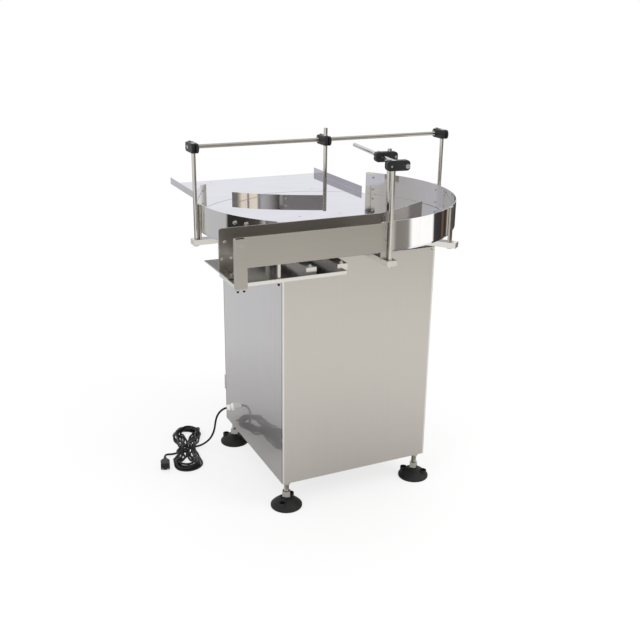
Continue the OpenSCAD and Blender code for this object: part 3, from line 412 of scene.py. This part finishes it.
plasticFinishes = {
    # glass filled nylon clamps, spark eroded mould: fine matt grain
    "clampNylon": {"dark": "#131417", "light": "#1d1f23", "rough": 0.40, "grainMm": 0.9, "bump": 0.18},
    # moulded foot base, duller and dusty
    "footNylon": {"dark": "#141517", "light": "#202224", "rough": 0.55, "grainMm": 1.4, "bump": 0.22},
    # flexible PVC sheath of the lead
    "leadSheath": {"dark": "#101112", "light": "#1d1e20", "rough": 0.4, "grainMm": 2.5, "bump": 0.1},
    # moulded plug body
    "plugMoulding": {"dark": "#141517", "light": "#222326", "rough": 0.46, "grainMm": 1.1, "bump": 0.15},
    # natural white nylon gland
    "glandNylon": {"dark": "#efefec", "light": "#fbfbf9", "rough": 0.38, "grainMm": 1.5, "bump": 0.08},
    # red button cap
    "stopRed": {"dark": "#8f1712", "light": "#b3261e", "rough": 0.34, "grainMm": 2.0, "bump": 0.06},
    # painted die castings of the drive: light orange peel
    "castPaint": {"dark": "#666b70", "light": "#80858b", "rough": 0.45, "grainMm": 2.2, "bump": 0.25},
}


plasticSet = {"ior": 1.5, "cloudMm": 25, "span": (0.3, 0.7), "roughSpread": 0.06, "grainDeep": 0.2 * mm}


def plasticMaterial(name):
    look = plasticFinishes[name]
    low, high = plasticSet["span"]
    spread = plasticSet["roughSpread"]
    material, tree, shader = startMaterial(name, {"Metallic": 0.0, "IOR": plasticSet["ior"]})
    place = addNode(tree, "ShaderNodeTexCoord").outputs["Object"]
    grain = addNode(tree, "ShaderNodeTexNoise", {
        "Vector": place, "Scale": 1 / (look["grainMm"] * mm), "Detail": 3.0})
    cloud = addNode(tree, "ShaderNodeTexNoise", {
        "Vector": place, "Scale": 1 / (plasticSet["cloudMm"] * mm), "Detail": 2.0})
    tint = addNode(tree, "ShaderNodeValToRGB", {"Fac": cloud.outputs["Fac"]})
    setRamp(tint, [(low, look["dark"]), (high, look["light"])])
    sheen = addNode(tree, "ShaderNodeMapRange", {
        "Value": grain.outputs["Fac"], "To Min": look["rough"] - spread, "To Max": look["rough"] + spread})
    relief = addNode(tree, "ShaderNodeBump", {
        "Strength": look["bump"], "Distance": plasticSet["grainDeep"], "Height": grain.outputs["Fac"]})
    tree.links.new(tint.outputs["Color"], shader.inputs["Base Color"])
    tree.links.new(sheen.outputs["Result"], shader.inputs["Roughness"])
    tree.links.new(relief.outputs["Normal"], shader.inputs["Normal"])
    return material


finish = {name: steelMaterial(name) for name in steelFinishes}
finish.update({name: plasticMaterial(name) for name in plasticFinishes})

nodeFinish = {
    "uprightHairline": ["right_panel", "rear_door"],
    "foldedFront": ["front_panel"],
    "levelHairline": ["outer_guide", "lane_post"],
    # the lane strip and its bracket take the darker copy of the strip, as painted shade
    "shadedHairline": ["lane_strip", "lane_bracket"],
    "polishedTray": ["outlet_tray"],
    "brightSheet": ["left_panel"],
    "mirrorSheet": ["turntable_disc", "infeed_plate", "dead_plate", "arc_curve", "arc_strip"],
    "rolledWall": ["rim_wall_left", "rim_wall_right"],
    "darkPolish": ["lane_extension"],
    "groundBar": ["upright_rods", "cross_rod", "short_rod", "arc_rod", "lane_rod", "standoffs"],
    "drawnBar": ["support_arms"],
    "drawnPost": ["wall_posts"],
    "millSteel": ["cabinet_frame", "bottom_plate", "mounting_plate", "hub_flange", "main_shaft"],
    "zincPlate": ["frame_fasteners", "door_hinges", "door_lock"] + ["foot_stud_" + k for k in corners],
    "clampNylon": ["left_clamp", "right_clamp", "front_clamp", "middle_clamp", "lane_clamp", "control_bases",
                   "speed_knob", "power_switch", "motor_fan_cover"],
    "footNylon": ["foot_base_" + k for k in corners],
    "glandNylon": ["cord_gland"],
    "plugMoulding": ["mains_plug", "cord_lead", "cord_hank", "cord_tail"],
    "stopRed": ["stop_button"],
    "castPaint": ["bearing_housing", "worm_gearbox", "drive_motor", "speed_controller"],
}
finishOf = {}
for finishName, members in nodeFinish.items():
    for node in members:
        finishOf[node] = finish[finishName]
        nodes[node].data.materials.clear()
        nodes[node].data.materials.append(finish[finishName])
lead.data.materials.append(finish["leadSheath"])
print("finishes set on", len(finishOf), "of", len(nodes), "nodes")

# sheet and bar edges: worked copies of the solids with eased edges

edgeEase = {
    1.3: ["front_panel", "left_panel", "right_panel", "rear_door"],
    0.4: ["outer_guide", "lane_post", "outlet_tray", "dead_plate", "infeed_plate", "lane_strip", "arc_strip",
          "lane_bracket", "door_lock", "power_switch", "speed_knob"],
    1.0: ["support_arms", "wall_posts", "mounting_plate", "cord_gland"],
    1.5: ["foot_base_" + k for k in corners],
}


# when points are one, when faces are one flat, and when an edge is sharp
meshSet = {"weld": 0.01 * mm, "flat": math.radians(1), "sharp": math.radians(40)}


def mergedCopy(node):
    bm = bmesh.new()
    bm.from_mesh(nodes[node].data)
    bmesh.ops.remove_doubles(bm, verts=bm.verts[:], dist=meshSet["weld"])
    bmesh.ops.dissolve_limit(bm, angle_limit=meshSet["flat"], verts=bm.verts[:], edges=bm.edges[:])
    return bm


def standIn(piece, *members):
    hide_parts(*members)
    return piece


def easedCopy(node, width):
    bm = mergedCopy(node)
    sharp = [e for e in bm.edges if len(e.link_faces) == 2 and e.calc_face_angle() > meshSet["sharp"]]
    easeEdges(bm, sharp, width)
    return standIn(addPiece(node + "Eased", bm, finishOf[node], bodyOf[node]), node)


for width, members in edgeEase.items():
    for node in members:
        easedCopy(node, width * mm)
print("edges eased")

# cross clamps: the long outer edges well rounded, as moulded; their screws follow below

clampSet = {
    "turn": {"left_clamp": 90, "right_clamp": 90, "middle_clamp": 90, "front_clamp": -7.5, "lane_clamp": 172.5},
    "halfThick": 11 * mm,
    "halfHigh": 14 * mm,
    "round": 3.2 * mm,
    "rimFrom": (20 * mm, 6.5 * mm),  # past these along or up, an edge is on the outer rim
    "slitHalf": 1.5 * mm,
    "sharp": math.radians(60),
    "near": 0.1 * mm,  # of a face, to count as on it
    # front clamp, both screws in its front: along, up, radius, proud
    "frontScrews": ((-20 * mm, -1 * mm, 2.6 * mm, 0.6 * mm), (25 * mm, -1.5 * mm, 6.2 * mm, 0.6 * mm)),
    # the others: one in the slit's end, one on top, one small in the far face
    "slitScrew": (-26 * mm, 3.4 * mm, 1.6 * mm),
    "topScrew": (23 * mm, 4.2 * mm, 2.4 * mm),
    "farScrew": (23 * mm, 6 * mm, 2.4 * mm, 0.8 * mm),
}


def clampPlace(node):
    low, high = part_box(node)
    return Matrix.Translation((low + high) / 2) @ Matrix.Rotation(math.radians(clampSet["turn"][node]), 4, "Z")


def addClamp(node):
    bm = mergedCopy(node)
    back = clampPlace(node).inverted()
    rimAlong, rimUp = clampSet["rimFrom"]
    outer = []
    for edge in bm.edges:
        if len(edge.link_faces) != 2 or edge.calc_face_angle() < clampSet["sharp"]:
            continue
        ends = [back @ v.co for v in edge.verts]
        onFace = all(abs(abs(p.y) - clampSet["halfThick"]) < clampSet["near"] for p in ends)
        onRim = all(abs(p.z) > rimUp or abs(p.x) > rimAlong for p in ends)
        slit = all(abs(p.z) < clampSet["slitHalf"] for p in ends)
        if onFace and onRim and not slit:
            outer.append(edge)
    easeEdges(bm, outer, clampSet["round"], 4)
    standIn(addPiece(node + "Moulded", bm, finishOf[node], bodyOf[node], 50), node)


for node in clampSet["turn"]:
    addClamp(node)
print("clamps moulded")

# screws, nuts and bolts: one piece of them for each body

seat = 0.2 * mm  # how far a head is set into what it holds
flushProud, flushDeep = 0.1 * mm, 0.25 * mm  # countersunk heads: how far they stand out, and their sockets
toFront, toTop, toFloor = (0, -1, 0), (0, 0, 1), (0, 0, -1)


def addSocket(part, size, top, deep):
    # hexagon socket: bridged to the open rim of a turned head, sunk and closed
    rim = [e for e in part.edges if e.is_boundary]
    made = bmesh.ops.create_circle(part, segments=6, radius=size, matrix=Matrix.Translation((0, 0, top)))
    edges = list(dict.fromkeys(e for v in made["verts"] for e in v.link_edges))
    bmesh.ops.bridge_loops(part, edges=rim + edges)
    sunk = bmesh.ops.extrude_edge_only(part, edges=edges)["geom"]
    bmesh.ops.translate(part, verts=[g for g in sunk if isinstance(g, bmesh.types.BMVert)], vec=(0, 0, -deep))
    floor = [g for g in sunk if isinstance(g, bmesh.types.BMEdge) and g.is_boundary]
    bmesh.ops.edgeloop_fill(part, edges=floor)


def hexagon(size, low, high, ease):
    part = bmesh.new()
    place = Matrix.Translation((0, 0, (low + high) / 2)) @ Matrix.Rotation(math.radians(30), 4, "Z")
    bmesh.ops.create_cone(part, cap_ends=True, segments=6, radius1=size, radius2=size, depth=high - low, matrix=place)
    easeEdges(part, [e for e in part.edges if abs(e.verts[0].co.z - e.verts[1].co.z) < meshSet["weld"]], ease)
    return part


def domeScrew(bm, place, size):
    head = turned([(0, -seat), (size, -seat), (size, 0.15 * size), (0.93 * size, 0.42 * size),
                   (0.72 * size, 0.6 * size), (0.5 * size, 0.66 * size)])
    addSocket(head, 0.46 * size, 0.66 * size, 0.36 * size)
    stamp(bm, head, place)


def capScrew(bm, place, size, high):
    head = turned([(0, -seat), (size, -seat), (size, 0.88 * high), (0.92 * size, high), (0.6 * size, high)])
    addSocket(head, 0.56 * size, high, 0.6 * high)
    stamp(bm, head, place)


def flushScrew(bm, place, size):
    head = turned([(0, -seat), (size, -seat), (size, flushProud), (0.55 * size, flushProud)])
    addSocket(head, 0.5 * size, flushProud, flushDeep)
    stamp(bm, head, place)


def hexBolt(bm, place, size, high, tail=0.0):
    stamp(bm, hexagon(size, -seat, high, 0.06 * size), place)
    if tail:
        end = high + tail
        stamp(bm, turned([(0, high - seat), (0.5 * size, high - seat), (0.5 * size, end - 0.5 * mm), (0.4 * size, end),
                          (0, end)]), place)


def polar(radius, degrees, z):
    a = math.radians(degrees)
    return (radius * math.cos(a), radius * math.sin(a), z)


def inward(degrees):
    return (-math.cos(math.radians(degrees)), -math.sin(math.radians(degrees)), 0)


screwSet = {
    "wallRadius": 0.4024,  # pairs on the rim's inner face
    "wallDegrees": (39.5, -0.7, 140.5, 180.7, -50),
    "wallHeights": (0.903, 0.862),
    "wallSize": 4.2 * mm,
    "outerRadius": 0.404,  # nuts on the left wall's outer face, beside the lane: degrees and height
    "outerSpots": ((206.6, 0.900), (212.4, 0.9026)),
    "outerNut": (5.5 * mm, 4 * mm, 3 * mm),
    "outerSpin": 15,
    # domed heads that face the front, by radius: front post, cabinet corners
    "frontDomes": {
        4.0 * mm: ((-0.0165, -0.4121, 0.872), (-0.0165, -0.4121, 0.905)),
        3.2 * mm: ((0.238, -0.255, 0.780), (-0.238, -0.255, 0.780)),
    },
    "laneFlush": ((-0.436, -0.434, 0.902), 3.6 * mm),
    "infeedSpots": ((0.148, 0.419), (-0.148, 0.419), (0.148, 0.664), (-0.148, 0.664)),
    "infeedSize": 3.8 * mm,
    "tableHigh": 0.845,
    # bolts under the tray and the arms: spots, way, spin, then radius, height and tail of the thread
    "bolts": (
        (((-0.445, -0.4255, 0.790), (-0.428, -0.4255, 0.790)), toFloor, 10, (5.6 * mm, 4.5 * mm, 0)),  # lane post
        (((-0.324, -0.405, 0.798), (-0.324, -0.329, 0.798)), toFloor, 0, (5.8 * mm, 7 * mm, 7 * mm)),  # stand-offs
        (((-0.229, -0.393, 0.816), (-0.137, -0.393, 0.816)), toTop, 12, (5.2 * mm, 4.5 * mm, 2.5 * mm)),  # tray bars
        (((-0.229, -0.393, 0.7925), (-0.137, -0.393, 0.7925)), toFloor, 0, (4.5 * mm, 1 * mm, 8 * mm)),
        (((-0.417, 0, 0.8), (0.417, 0, 0.8), (0, -0.417, 0.8)), toFloor, 20, (5.8 * mm, 4 * mm, 0)),  # into the rods
    ),
    # blackened ends below the nuts of the lane post and the stand-offs
    "blackTails": (
        (-0.445, -0.4255, 0.7857), (-0.428, -0.4255, 0.7857), (-0.324, -0.405, 0.784), (-0.324, -0.329, 0.784),
    ),
    "blackTail": (3.2 * mm, 6 * mm),
}


def cabinetScrews():
    bm = bmesh.new()
    for degrees in screwSet["wallDegrees"]:
        for z in screwSet["wallHeights"]:
            domeScrew(bm, facing(polar(screwSet["wallRadius"], degrees, z), inward(degrees)), screwSet["wallSize"])
    for degrees, z in screwSet["outerSpots"]:
        place = facing(polar(screwSet["outerRadius"], degrees, z), polar(1, degrees, 0), screwSet["outerSpin"])
        hexBolt(bm, place, *screwSet["outerNut"])
    for size, spots in screwSet["frontDomes"].items():
        for spot in spots:
            domeScrew(bm, facing(spot, toFront), size)
    spot, size = screwSet["laneFlush"]
    flushScrew(bm, facing(spot, toFront), size)
    for x, y in screwSet["infeedSpots"]:
        flushScrew(bm, facing((x, y, screwSet["tableHigh"]), toTop), screwSet["infeedSize"])
    for spots, way, spin, sizes in screwSet["bolts"]:
        for spot in spots:
            hexBolt(bm, facing(spot, way, spin), *sizes)
    for node in ("left_clamp", "right_clamp", "front_clamp"):
        clampScrews(bm, node)
    addPiece("cabinetScrews", bm, finish["zincPlate"], "cabinet")

    bm = bmesh.new()
    for spot in screwSet["blackTails"]:
        capScrew(bm, facing(spot, toFloor), *screwSet["blackTail"])
    addPiece("trayBolts", bm, finish["blackOxide"], "cabinet")


def clampScrews(bm, node):
    place = clampPlace(node)
    thick = clampSet["halfThick"]
    if node == "front_clamp":
        for along, up, size, proud in clampSet["frontScrews"]:
            capScrew(bm, place @ facing((along, -thick, up), toFront), size, proud)
        return
    side = 1 if node == "lane_clamp" else -1
    along, size, proud = clampSet["slitScrew"]
    capScrew(bm, place @ facing((along, side * thick, 0), (0, side, 0)), size, proud)
    along, size, proud = clampSet["topScrew"]
    capScrew(bm, place @ facing((along, 0, clampSet["halfHigh"]), toTop), size, proud)
    along, up, size, proud = clampSet["farScrew"]
    capScrew(bm, place @ facing((along, -side * thick, up), (0, -side, 0)), size, proud)


movingSet = {
    "discRadius": 0.077,
    "discDegrees": (25, 152, 245, 332),
    "discSize": 4.5 * mm,
    # arc strip: its heading over the disc, the pair's place along it and behind it
    "arcHeading": 156,
    "arcAlong": 121 * mm,
    "arcBehind": 6.1 * mm,
    "arcHeights": (0.877, 0.901),
    "arcSize": 3.4 * mm,
    # lane strip's left end: one dome above two nuts
    "laneDome": ((-0.436, -0.307, 0.8836), 4.6 * mm),
    "laneNuts": ((-0.445, -0.304, 0.838), (-0.4195, -0.304, 0.838)),
    "laneNut": (4.6 * mm, 3.5 * mm),
    "laneSpin": 10,
}


def movingScrews():
    bm = bmesh.new()
    for degrees in movingSet["discDegrees"]:
        spot = polar(movingSet["discRadius"], degrees, screwSet["tableHigh"])
        flushScrew(bm, facing(spot, toTop), movingSet["discSize"])
    addPiece("discScrews", bm, finish["zincPlate"], "turntable")

    bm = bmesh.new()
    clampScrews(bm, "middle_clamp")
    addPiece("middleClampScrews", bm, finish["zincPlate"], bodyOf["middle_clamp"])

    bm = bmesh.new()
    along = Vector(polar(1, movingSet["arcHeading"], 0))
    ahead = Vector(polar(1, movingSet["arcHeading"] + 90, 0))
    for z in movingSet["arcHeights"]:
        spot = movingSet["arcAlong"] * along - movingSet["arcBehind"] * ahead + Vector((0, 0, z))
        domeScrew(bm, facing(spot, ahead), movingSet["arcSize"])
    addPiece("arcScrews", bm, finish["zincPlate"], bodyOf["arc_strip"])

    bm = bmesh.new()
    clampScrews(bm, "lane_clamp")
    spot, size = movingSet["laneDome"]
    domeScrew(bm, facing(spot, toFront), size)
    for spot in movingSet["laneNuts"]:
        hexBolt(bm, facing(spot, toFront, movingSet["laneSpin"]), *movingSet["laneNut"])
    addPiece("laneScrews", bm, finish["zincPlate"], bodyOf["lane_strip"])


cabinetScrews()
movingScrews()
print("screws set")

# levelling studs: rolled thread above the hexagon

studSet = {
    "radius": 8 * mm,
    "root": 6.9 * mm,
    "pitch": 2 * mm,
    "hex": 24 / math.sqrt(3) * mm,  # 24 mm across the flats
    "hexTall": 22 * mm,
    "hexGap": 0.1 * mm,  # above the foot
    "hexEase": 1 * mm,
    "steps": 36,
}


def addStud(corner):
    node = "foot_stud_" + corner
    low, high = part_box(node)
    middle = (low + high) / 2
    base = low.z
    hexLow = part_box("foot_base_" + corner)[1].z + studSet["hexGap"]
    hexHigh = hexLow + studSet["hexTall"]
    profile = [(0, base), (studSet["radius"], base), (studSet["radius"], hexHigh), (studSet["root"], hexHigh)]
    z = hexHigh + studSet["pitch"] / 2
    while z < high.z - studSet["pitch"]:
        profile += [(studSet["radius"], z), (studSet["root"], z + studSet["pitch"] / 2)]
        z += studSet["pitch"]
    profile += [(studSet["root"], high.z), (0, high.z)]
    bm = bmesh.new()
    place = Matrix.Translation((middle.x, middle.y, 0))
    stamp(bm, turned(profile, studSet["steps"]), place)
    stamp(bm, hexagon(studSet["hex"], hexLow, hexHigh, studSet["hexEase"]), place)
    standIn(addPiece(node + "Threaded", bm, finish["groundBar"], bodyOf[node], 25), node)


for corner in corners:
    addStud(corner)
print("studs threaded")

# mains plug: moulded body with finger grips, ribbed boot, flat pins

plugSet = {
    "at": (-0.506, 0.150, 0.012),
    "turn": 255,
    "size": (46 * mm, 30 * mm, 24 * mm),
    "nose": 8 * mm,  # the wide part starts this far from the back
    "round": 5 * mm,
    "neck": (12 * mm, 23 * mm, 19 * mm),
    "neckRound": 4 * mm,
    "grips": 4,
    "grip": (2 * mm, 1.2 * mm, 12 * mm),
    "gripRound": 0.4 * mm,
    "gripFrom": -8 * mm,
    "gripStep": 5 * mm,
    "boot": 24 * mm,
    "bootRings": 5,
    "bootRadius": (4.5 * mm, 7.5 * mm),
    "bootGroove": 0.8 * mm,
    "bootEnd": (7 * mm, 2 * mm),  # radius, and how far it goes into the neck
    "pin": (19 * mm, 6 * mm, 2 * mm),
    "pinRound": 0.6 * mm,
    "pinSunk": 2 * mm,
    "pinOut": 8 * mm,
}


def bootProfile():
    thin, thick = plugSet["bootRadius"]
    last = plugSet["bootRings"] - 1
    step = plugSet["boot"] / plugSet["bootRings"]
    profile = [(0, 0)]
    for k in range(plugSet["bootRings"]):
        r = thin + (thick - thin) * k / last
        groove = r - plugSet["bootGroove"]
        profile += [(r, k * step), (r, (k + 0.6) * step), (groove, (k + 0.65) * step), (groove, (k + 0.95) * step)]
    endRadius, inNeck = plugSet["bootEnd"]
    end = plugSet["boot"] + inNeck
    return profile + [(endRadius, end), (0, end)]


def addPlug():
    length, wide, high = plugSet["size"]
    place = Matrix.Translation(plugSet["at"]) @ Matrix.Rotation(math.radians(plugSet["turn"]), 4, "Z")
    bm = bmesh.new()
    addBox(bm, place @ Matrix.Translation((plugSet["nose"] / 2, 0, 0)), (length - plugSet["nose"], wide, high),
           plugSet["round"])
    addBox(bm, place @ Matrix.Translation(((plugSet["neck"][0] - length) / 2, 0, 0)), plugSet["neck"],
           plugSet["neckRound"])
    gripOut = (wide - plugSet["grip"][1]) / 2
    for k in range(plugSet["grips"]):
        for side in (-1, 1):
            spot = (plugSet["gripFrom"] + k * plugSet["gripStep"], side * gripOut, 0)
            addBox(bm, place @ Matrix.Translation(spot), plugSet["grip"], plugSet["gripRound"])
    stamp(bm, turned(bootProfile()), place @ facing((-length / 2 - plugSet["boot"], 0, 0), (1, 0, 0)))
    body = standIn(addPiece("plugBody", bm, finish["plugMoulding"], bodyOf["mains_plug"]), "mains_plug")

    bm = bmesh.new()
    for side in (-1, 1):
        spot = ((length + plugSet["pin"][0]) / 2 - plugSet["pinSunk"], side * plugSet["pinOut"], 0)
        addBox(bm, place @ Matrix.Translation(spot), plugSet["pin"], plugSet["pinRound"])
    pins = addPiece("plugPins", bm, finish["zincPlate"], bodyOf["mains_plug"])
    return body, pins


plugPieces = addPlug()
print("plug moulded")

# stage: white floor that keeps the shadow, white room, soft lamps

stageSet = {
    "floorSize": 30.0,
    "floorDrop": 0.5 * mm,
    "paper": "#f2f2f2",
    "fade": (0.9, 2.4),  # radii between which the shadow gives way to plain white
    "whiteShare": (0.75, 1.0),
    "ceiling": (0.5, 0.72),  # rise of the view at which the walls turn into the ceiling
    "fill": 0.8,  # strength of the room as a lamp
}

# painted reflections: the floor glows, for glossy rays only, with what polished metal sees of the studio floor: rings
# from a start to a full radius in metres, each by heading round the table as a share of a turn from -X; panels see the
# first, walls the second, rods the last;
# a third value is how far a painted lit card or window is brighter than white paper
# painted shadow close round the table, as polished metal sees the floor there
shadeByTheTable = "#adaaa7"
studioFloor = {
    (0.25, 1.3): [
        (0.0, "#f4f3f1"), (0.16, "#f4f3f1"), (0.24, "#efede8"), (0.36, "#efede8"), (0.5, "#e8e8e8"),
        (0.72, "#e4e4e6"), (0.8, "#dedddd"), (0.95, "#d9d8d8"), (1.0, "#f4f3f1"),
    ],
    (2.5, 3.3): [
        (0.0, "#3f3c38"), (0.03, "#4a4743"), (0.06, "#f2f1ef"), (0.22, "#f6f4ef"), (0.325, "#f6f4ef"),
        (0.345, "#85827b"), (0.378, "#908d87"), (0.39, "#ffffff", 0.15), (0.46, "#ffffff", 0.15), (0.465, "#42403f"),
        (0.497, "#353231"), (0.501, "#6a5649"), (0.508, "#6a5649"), (0.511, "#353231"), (0.521, "#3a3532"),
        (0.525, "#6a5649"), (0.545, "#614d41"), (0.556, "#3a3735"), (0.61, "#4a4846"), (0.68, "#c9c9cb"),
        (0.935, "#c2c1c4"), (0.941, "#33312e"),
    ],
    (4.7, 5.2): [
        (0.0, "#f2f1ef"), (0.2, "#f2f1ef"), (0.26, "#8a877f"), (0.45, "#77746d"), (0.55, "#b9b7b2"),
        (0.7, "#c4c4c8"), (0.87, "#cfced1"), (0.9, "#f2f1ef"),
    ],
}
# the walls: dim on the camera's side, one warm window to the right of it, white behind the table
studioWalls = [
    (0.0, "#bcbbb8"), (0.08, "#d2cfc8"), (0.23, "#d2cfc8"), (0.29, "#8f8c86"), (0.375, "#8f8c86"),
    (0.39, "#fff4dc", 0.3), (0.449, "#fff4dc", 0.3), (0.455, "#8f9498"), (0.47, "#d4d5d5"), (0.497, "#c4c3bf"),
    (0.535, "#7a7875"), (0.552, "#565350"), (0.558, "#b4b0a9"), (0.572, "#b4b0a9"), (0.6, "#f4f4f8"),
    (0.785, "#f4f4f8"), (0.795, "#bbbabe"), (0.826, "#bbbabe"), (0.836, "#c8c8ca"), (0.9, "#c4c3c4"),
    (1.0, "#bcbbb8"),
]
ceilingTone = "#cfcbc3"


def headingOf(tree, spot):
    # share of a turn round the table from -X, and the height
    parts = addNode(tree, "ShaderNodeSeparateXYZ", {"Vector": spot}).outputs
    angle = addNode(tree, "ShaderNodeMath", {0: parts["Y"], 1: parts["X"]}, operation="ARCTAN2")
    turn = addNode(tree, "ShaderNodeMapRange", {
        "Value": angle.outputs["Value"], "From Min": -math.pi, "From Max": math.pi})
    return turn.outputs["Result"], parts["Z"]


def paperFloor():
    material = bpy.data.materials.new("paperFloor")
    material.use_nodes = True
    tree = material.node_tree
    tree.nodes.clear()
    place = addNode(tree, "ShaderNodeTexCoord").outputs["Object"]
    reach = addNode(tree, "ShaderNodeVectorMath", {0: place}, operation="LENGTH").outputs["Value"]
    turn, _ = headingOf(tree, place)
    around, power = hexColour(shadeByTheTable), 0.0
    for (start, full), stops in studioFloor.items():
        ring = addNode(tree, "ShaderNodeValToRGB", {"Fac": turn})
        setRamp(ring, stops)
        share = addNode(tree, "ShaderNodeMapRange", {"Value": reach, "From Min": start, "From Max": full})
        around = addNode(tree, "ShaderNodeMix", {
            0: share.outputs["Result"], 6: around, 7: ring.outputs["Color"]}, data_type="RGBA").outputs[2]
        power = addNode(tree, "ShaderNodeMix", {
            0: share.outputs["Result"], 2: power, 3: ring.outputs["Alpha"]}, data_type="FLOAT").outputs[0]
    lit = addNode(tree, "ShaderNodeMath", {0: power, 1: 1.0}, operation="ADD")
    # painted reflections: glossy rays see this glow in place of the paper
    mirrored = addNode(tree, "ShaderNodeEmission", {"Color": around, "Strength": lit.outputs["Value"]})
    paper = addNode(tree, "ShaderNodeBsdfDiffuse", {"Color": hexColour(stageSet["paper"])})
    glow = addNode(tree, "ShaderNodeEmission", {"Color": hexColour("#ffffff"), "Strength": 1.0})
    rays = addNode(tree, "ShaderNodeLightPath").outputs
    fade = addNode(tree, "ShaderNodeMapRange", {
        "Value": reach, "From Min": stageSet["fade"][0], "From Max": stageSet["fade"][1],
        "To Min": stageSet["whiteShare"][0], "To Max": stageSet["whiteShare"][1]})
    white = addNode(tree, "ShaderNodeMath", {
        0: fade.outputs["Result"], 1: rays["Is Camera Ray"]}, operation="MULTIPLY")
    seen = addNode(tree, "ShaderNodeMixShader", {
        0: white.outputs["Value"], 1: paper.outputs["BSDF"], 2: glow.outputs["Emission"]})
    mixed = addNode(tree, "ShaderNodeMixShader", {
        0: rays["Is Glossy Ray"], 1: seen.outputs["Shader"], 2: mirrored.outputs["Emission"]})
    addNode(tree, "ShaderNodeOutputMaterial", {"Surface": mixed.outputs["Shader"]})
    material.cycles.emission_sampling = "NONE"
    return material


def addFloor():
    bm = bmesh.new()
    bmesh.ops.create_grid(bm, x_segments=1, y_segments=1, size=stageSet["floorSize"] / 2)
    bmesh.ops.translate(bm, verts=bm.verts[:], vec=(0, 0, -stageSet["floorDrop"]))
    mesh = bpy.data.meshes.new("studioFloor")
    bm.to_mesh(mesh)
    bm.free()
    mesh.materials.append(paperFloor())
    floor = bpy.data.objects.new("studioFloor", mesh)
    bpy.context.scene.collection.objects.link(floor)


def addRoom():
    world = bpy.data.worlds.new("studioRoom")
    bpy.context.scene.world = world
    world.use_nodes = True
    tree = world.node_tree
    tree.nodes.clear()
    rays = addNode(tree, "ShaderNodeLightPath").outputs
    turn, rise = headingOf(tree, addNode(tree, "ShaderNodeTexCoord").outputs["Generated"])
    sides = addNode(tree, "ShaderNodeValToRGB", {"Fac": turn})
    setRamp(sides, studioWalls)
    height = addNode(tree, "ShaderNodeMapRange", {
        "Value": rise, "From Min": stageSet["ceiling"][0], "From Max": stageSet["ceiling"][1]})
    walls = addNode(tree, "ShaderNodeMix", {
        0: height.outputs["Result"], 6: sides.outputs["Color"], 7: hexColour(ceilingTone)}, data_type="RGBA")
    tone = addNode(tree, "ShaderNodeMix", {
        0: rays["Is Glossy Ray"], 6: hexColour("#ffffff"), 7: walls.outputs[2]}, data_type="RGBA")
    bright = addNode(tree, "ShaderNodeMapRange", {
        "Value": rays["Is Diffuse Ray"], "To Min": 1.0, "To Max": stageSet["fill"]})
    lit = addNode(tree, "ShaderNodeMath", {
        0: rays["Is Glossy Ray"], 1: sides.outputs["Alpha"], 2: bright.outputs["Result"]}, operation="MULTIPLY_ADD")
    sky = addNode(tree, "ShaderNodeBackground", {"Color": tone.outputs[2], "Strength": lit.outputs["Value"]})
    addNode(tree, "ShaderNodeOutputWorld", {"Surface": sky.outputs["Background"]})
    world.cycles.sampling_method = "NONE"


lamps = {
    "keySoftbox": {"spot": (2.4, -2.6, 3.0), "aim": (0, 0, 0.6), "size": 2.2, "power": 60},
    "fillSoftbox": {"spot": (-3.2, -1.2, 2.4), "aim": (0, 0, 0.5), "size": 2.4, "power": 35},
    "topSoftbox": {"spot": (0.2, 0.6, 3.4), "aim": (0, 0, 0.8), "size": 2.6, "power": 40},
}


def addLamp(name):
    lamp = lamps[name]
    data = bpy.data.lights.new(name, "AREA")
    data.shape = "SQUARE"
    data.size = lamp["size"]
    data.energy = lamp["power"]
    light = bpy.data.objects.new(name, data)
    light.visible_glossy = False  # polished metal sees the room, not the lamps
    bpy.context.scene.collection.objects.link(light)
    aim = Vector(lamp["aim"]) - Vector(lamp["spot"])
    light.matrix_world = Matrix.Translation(lamp["spot"]) @ aim.to_track_quat("-Z", "Y").to_matrix().to_4x4()


addFloor()
addRoom()
for name in lamps:
    addLamp(name)
bpy.context.scene.view_settings.view_transform = "Standard"
print("stage set")
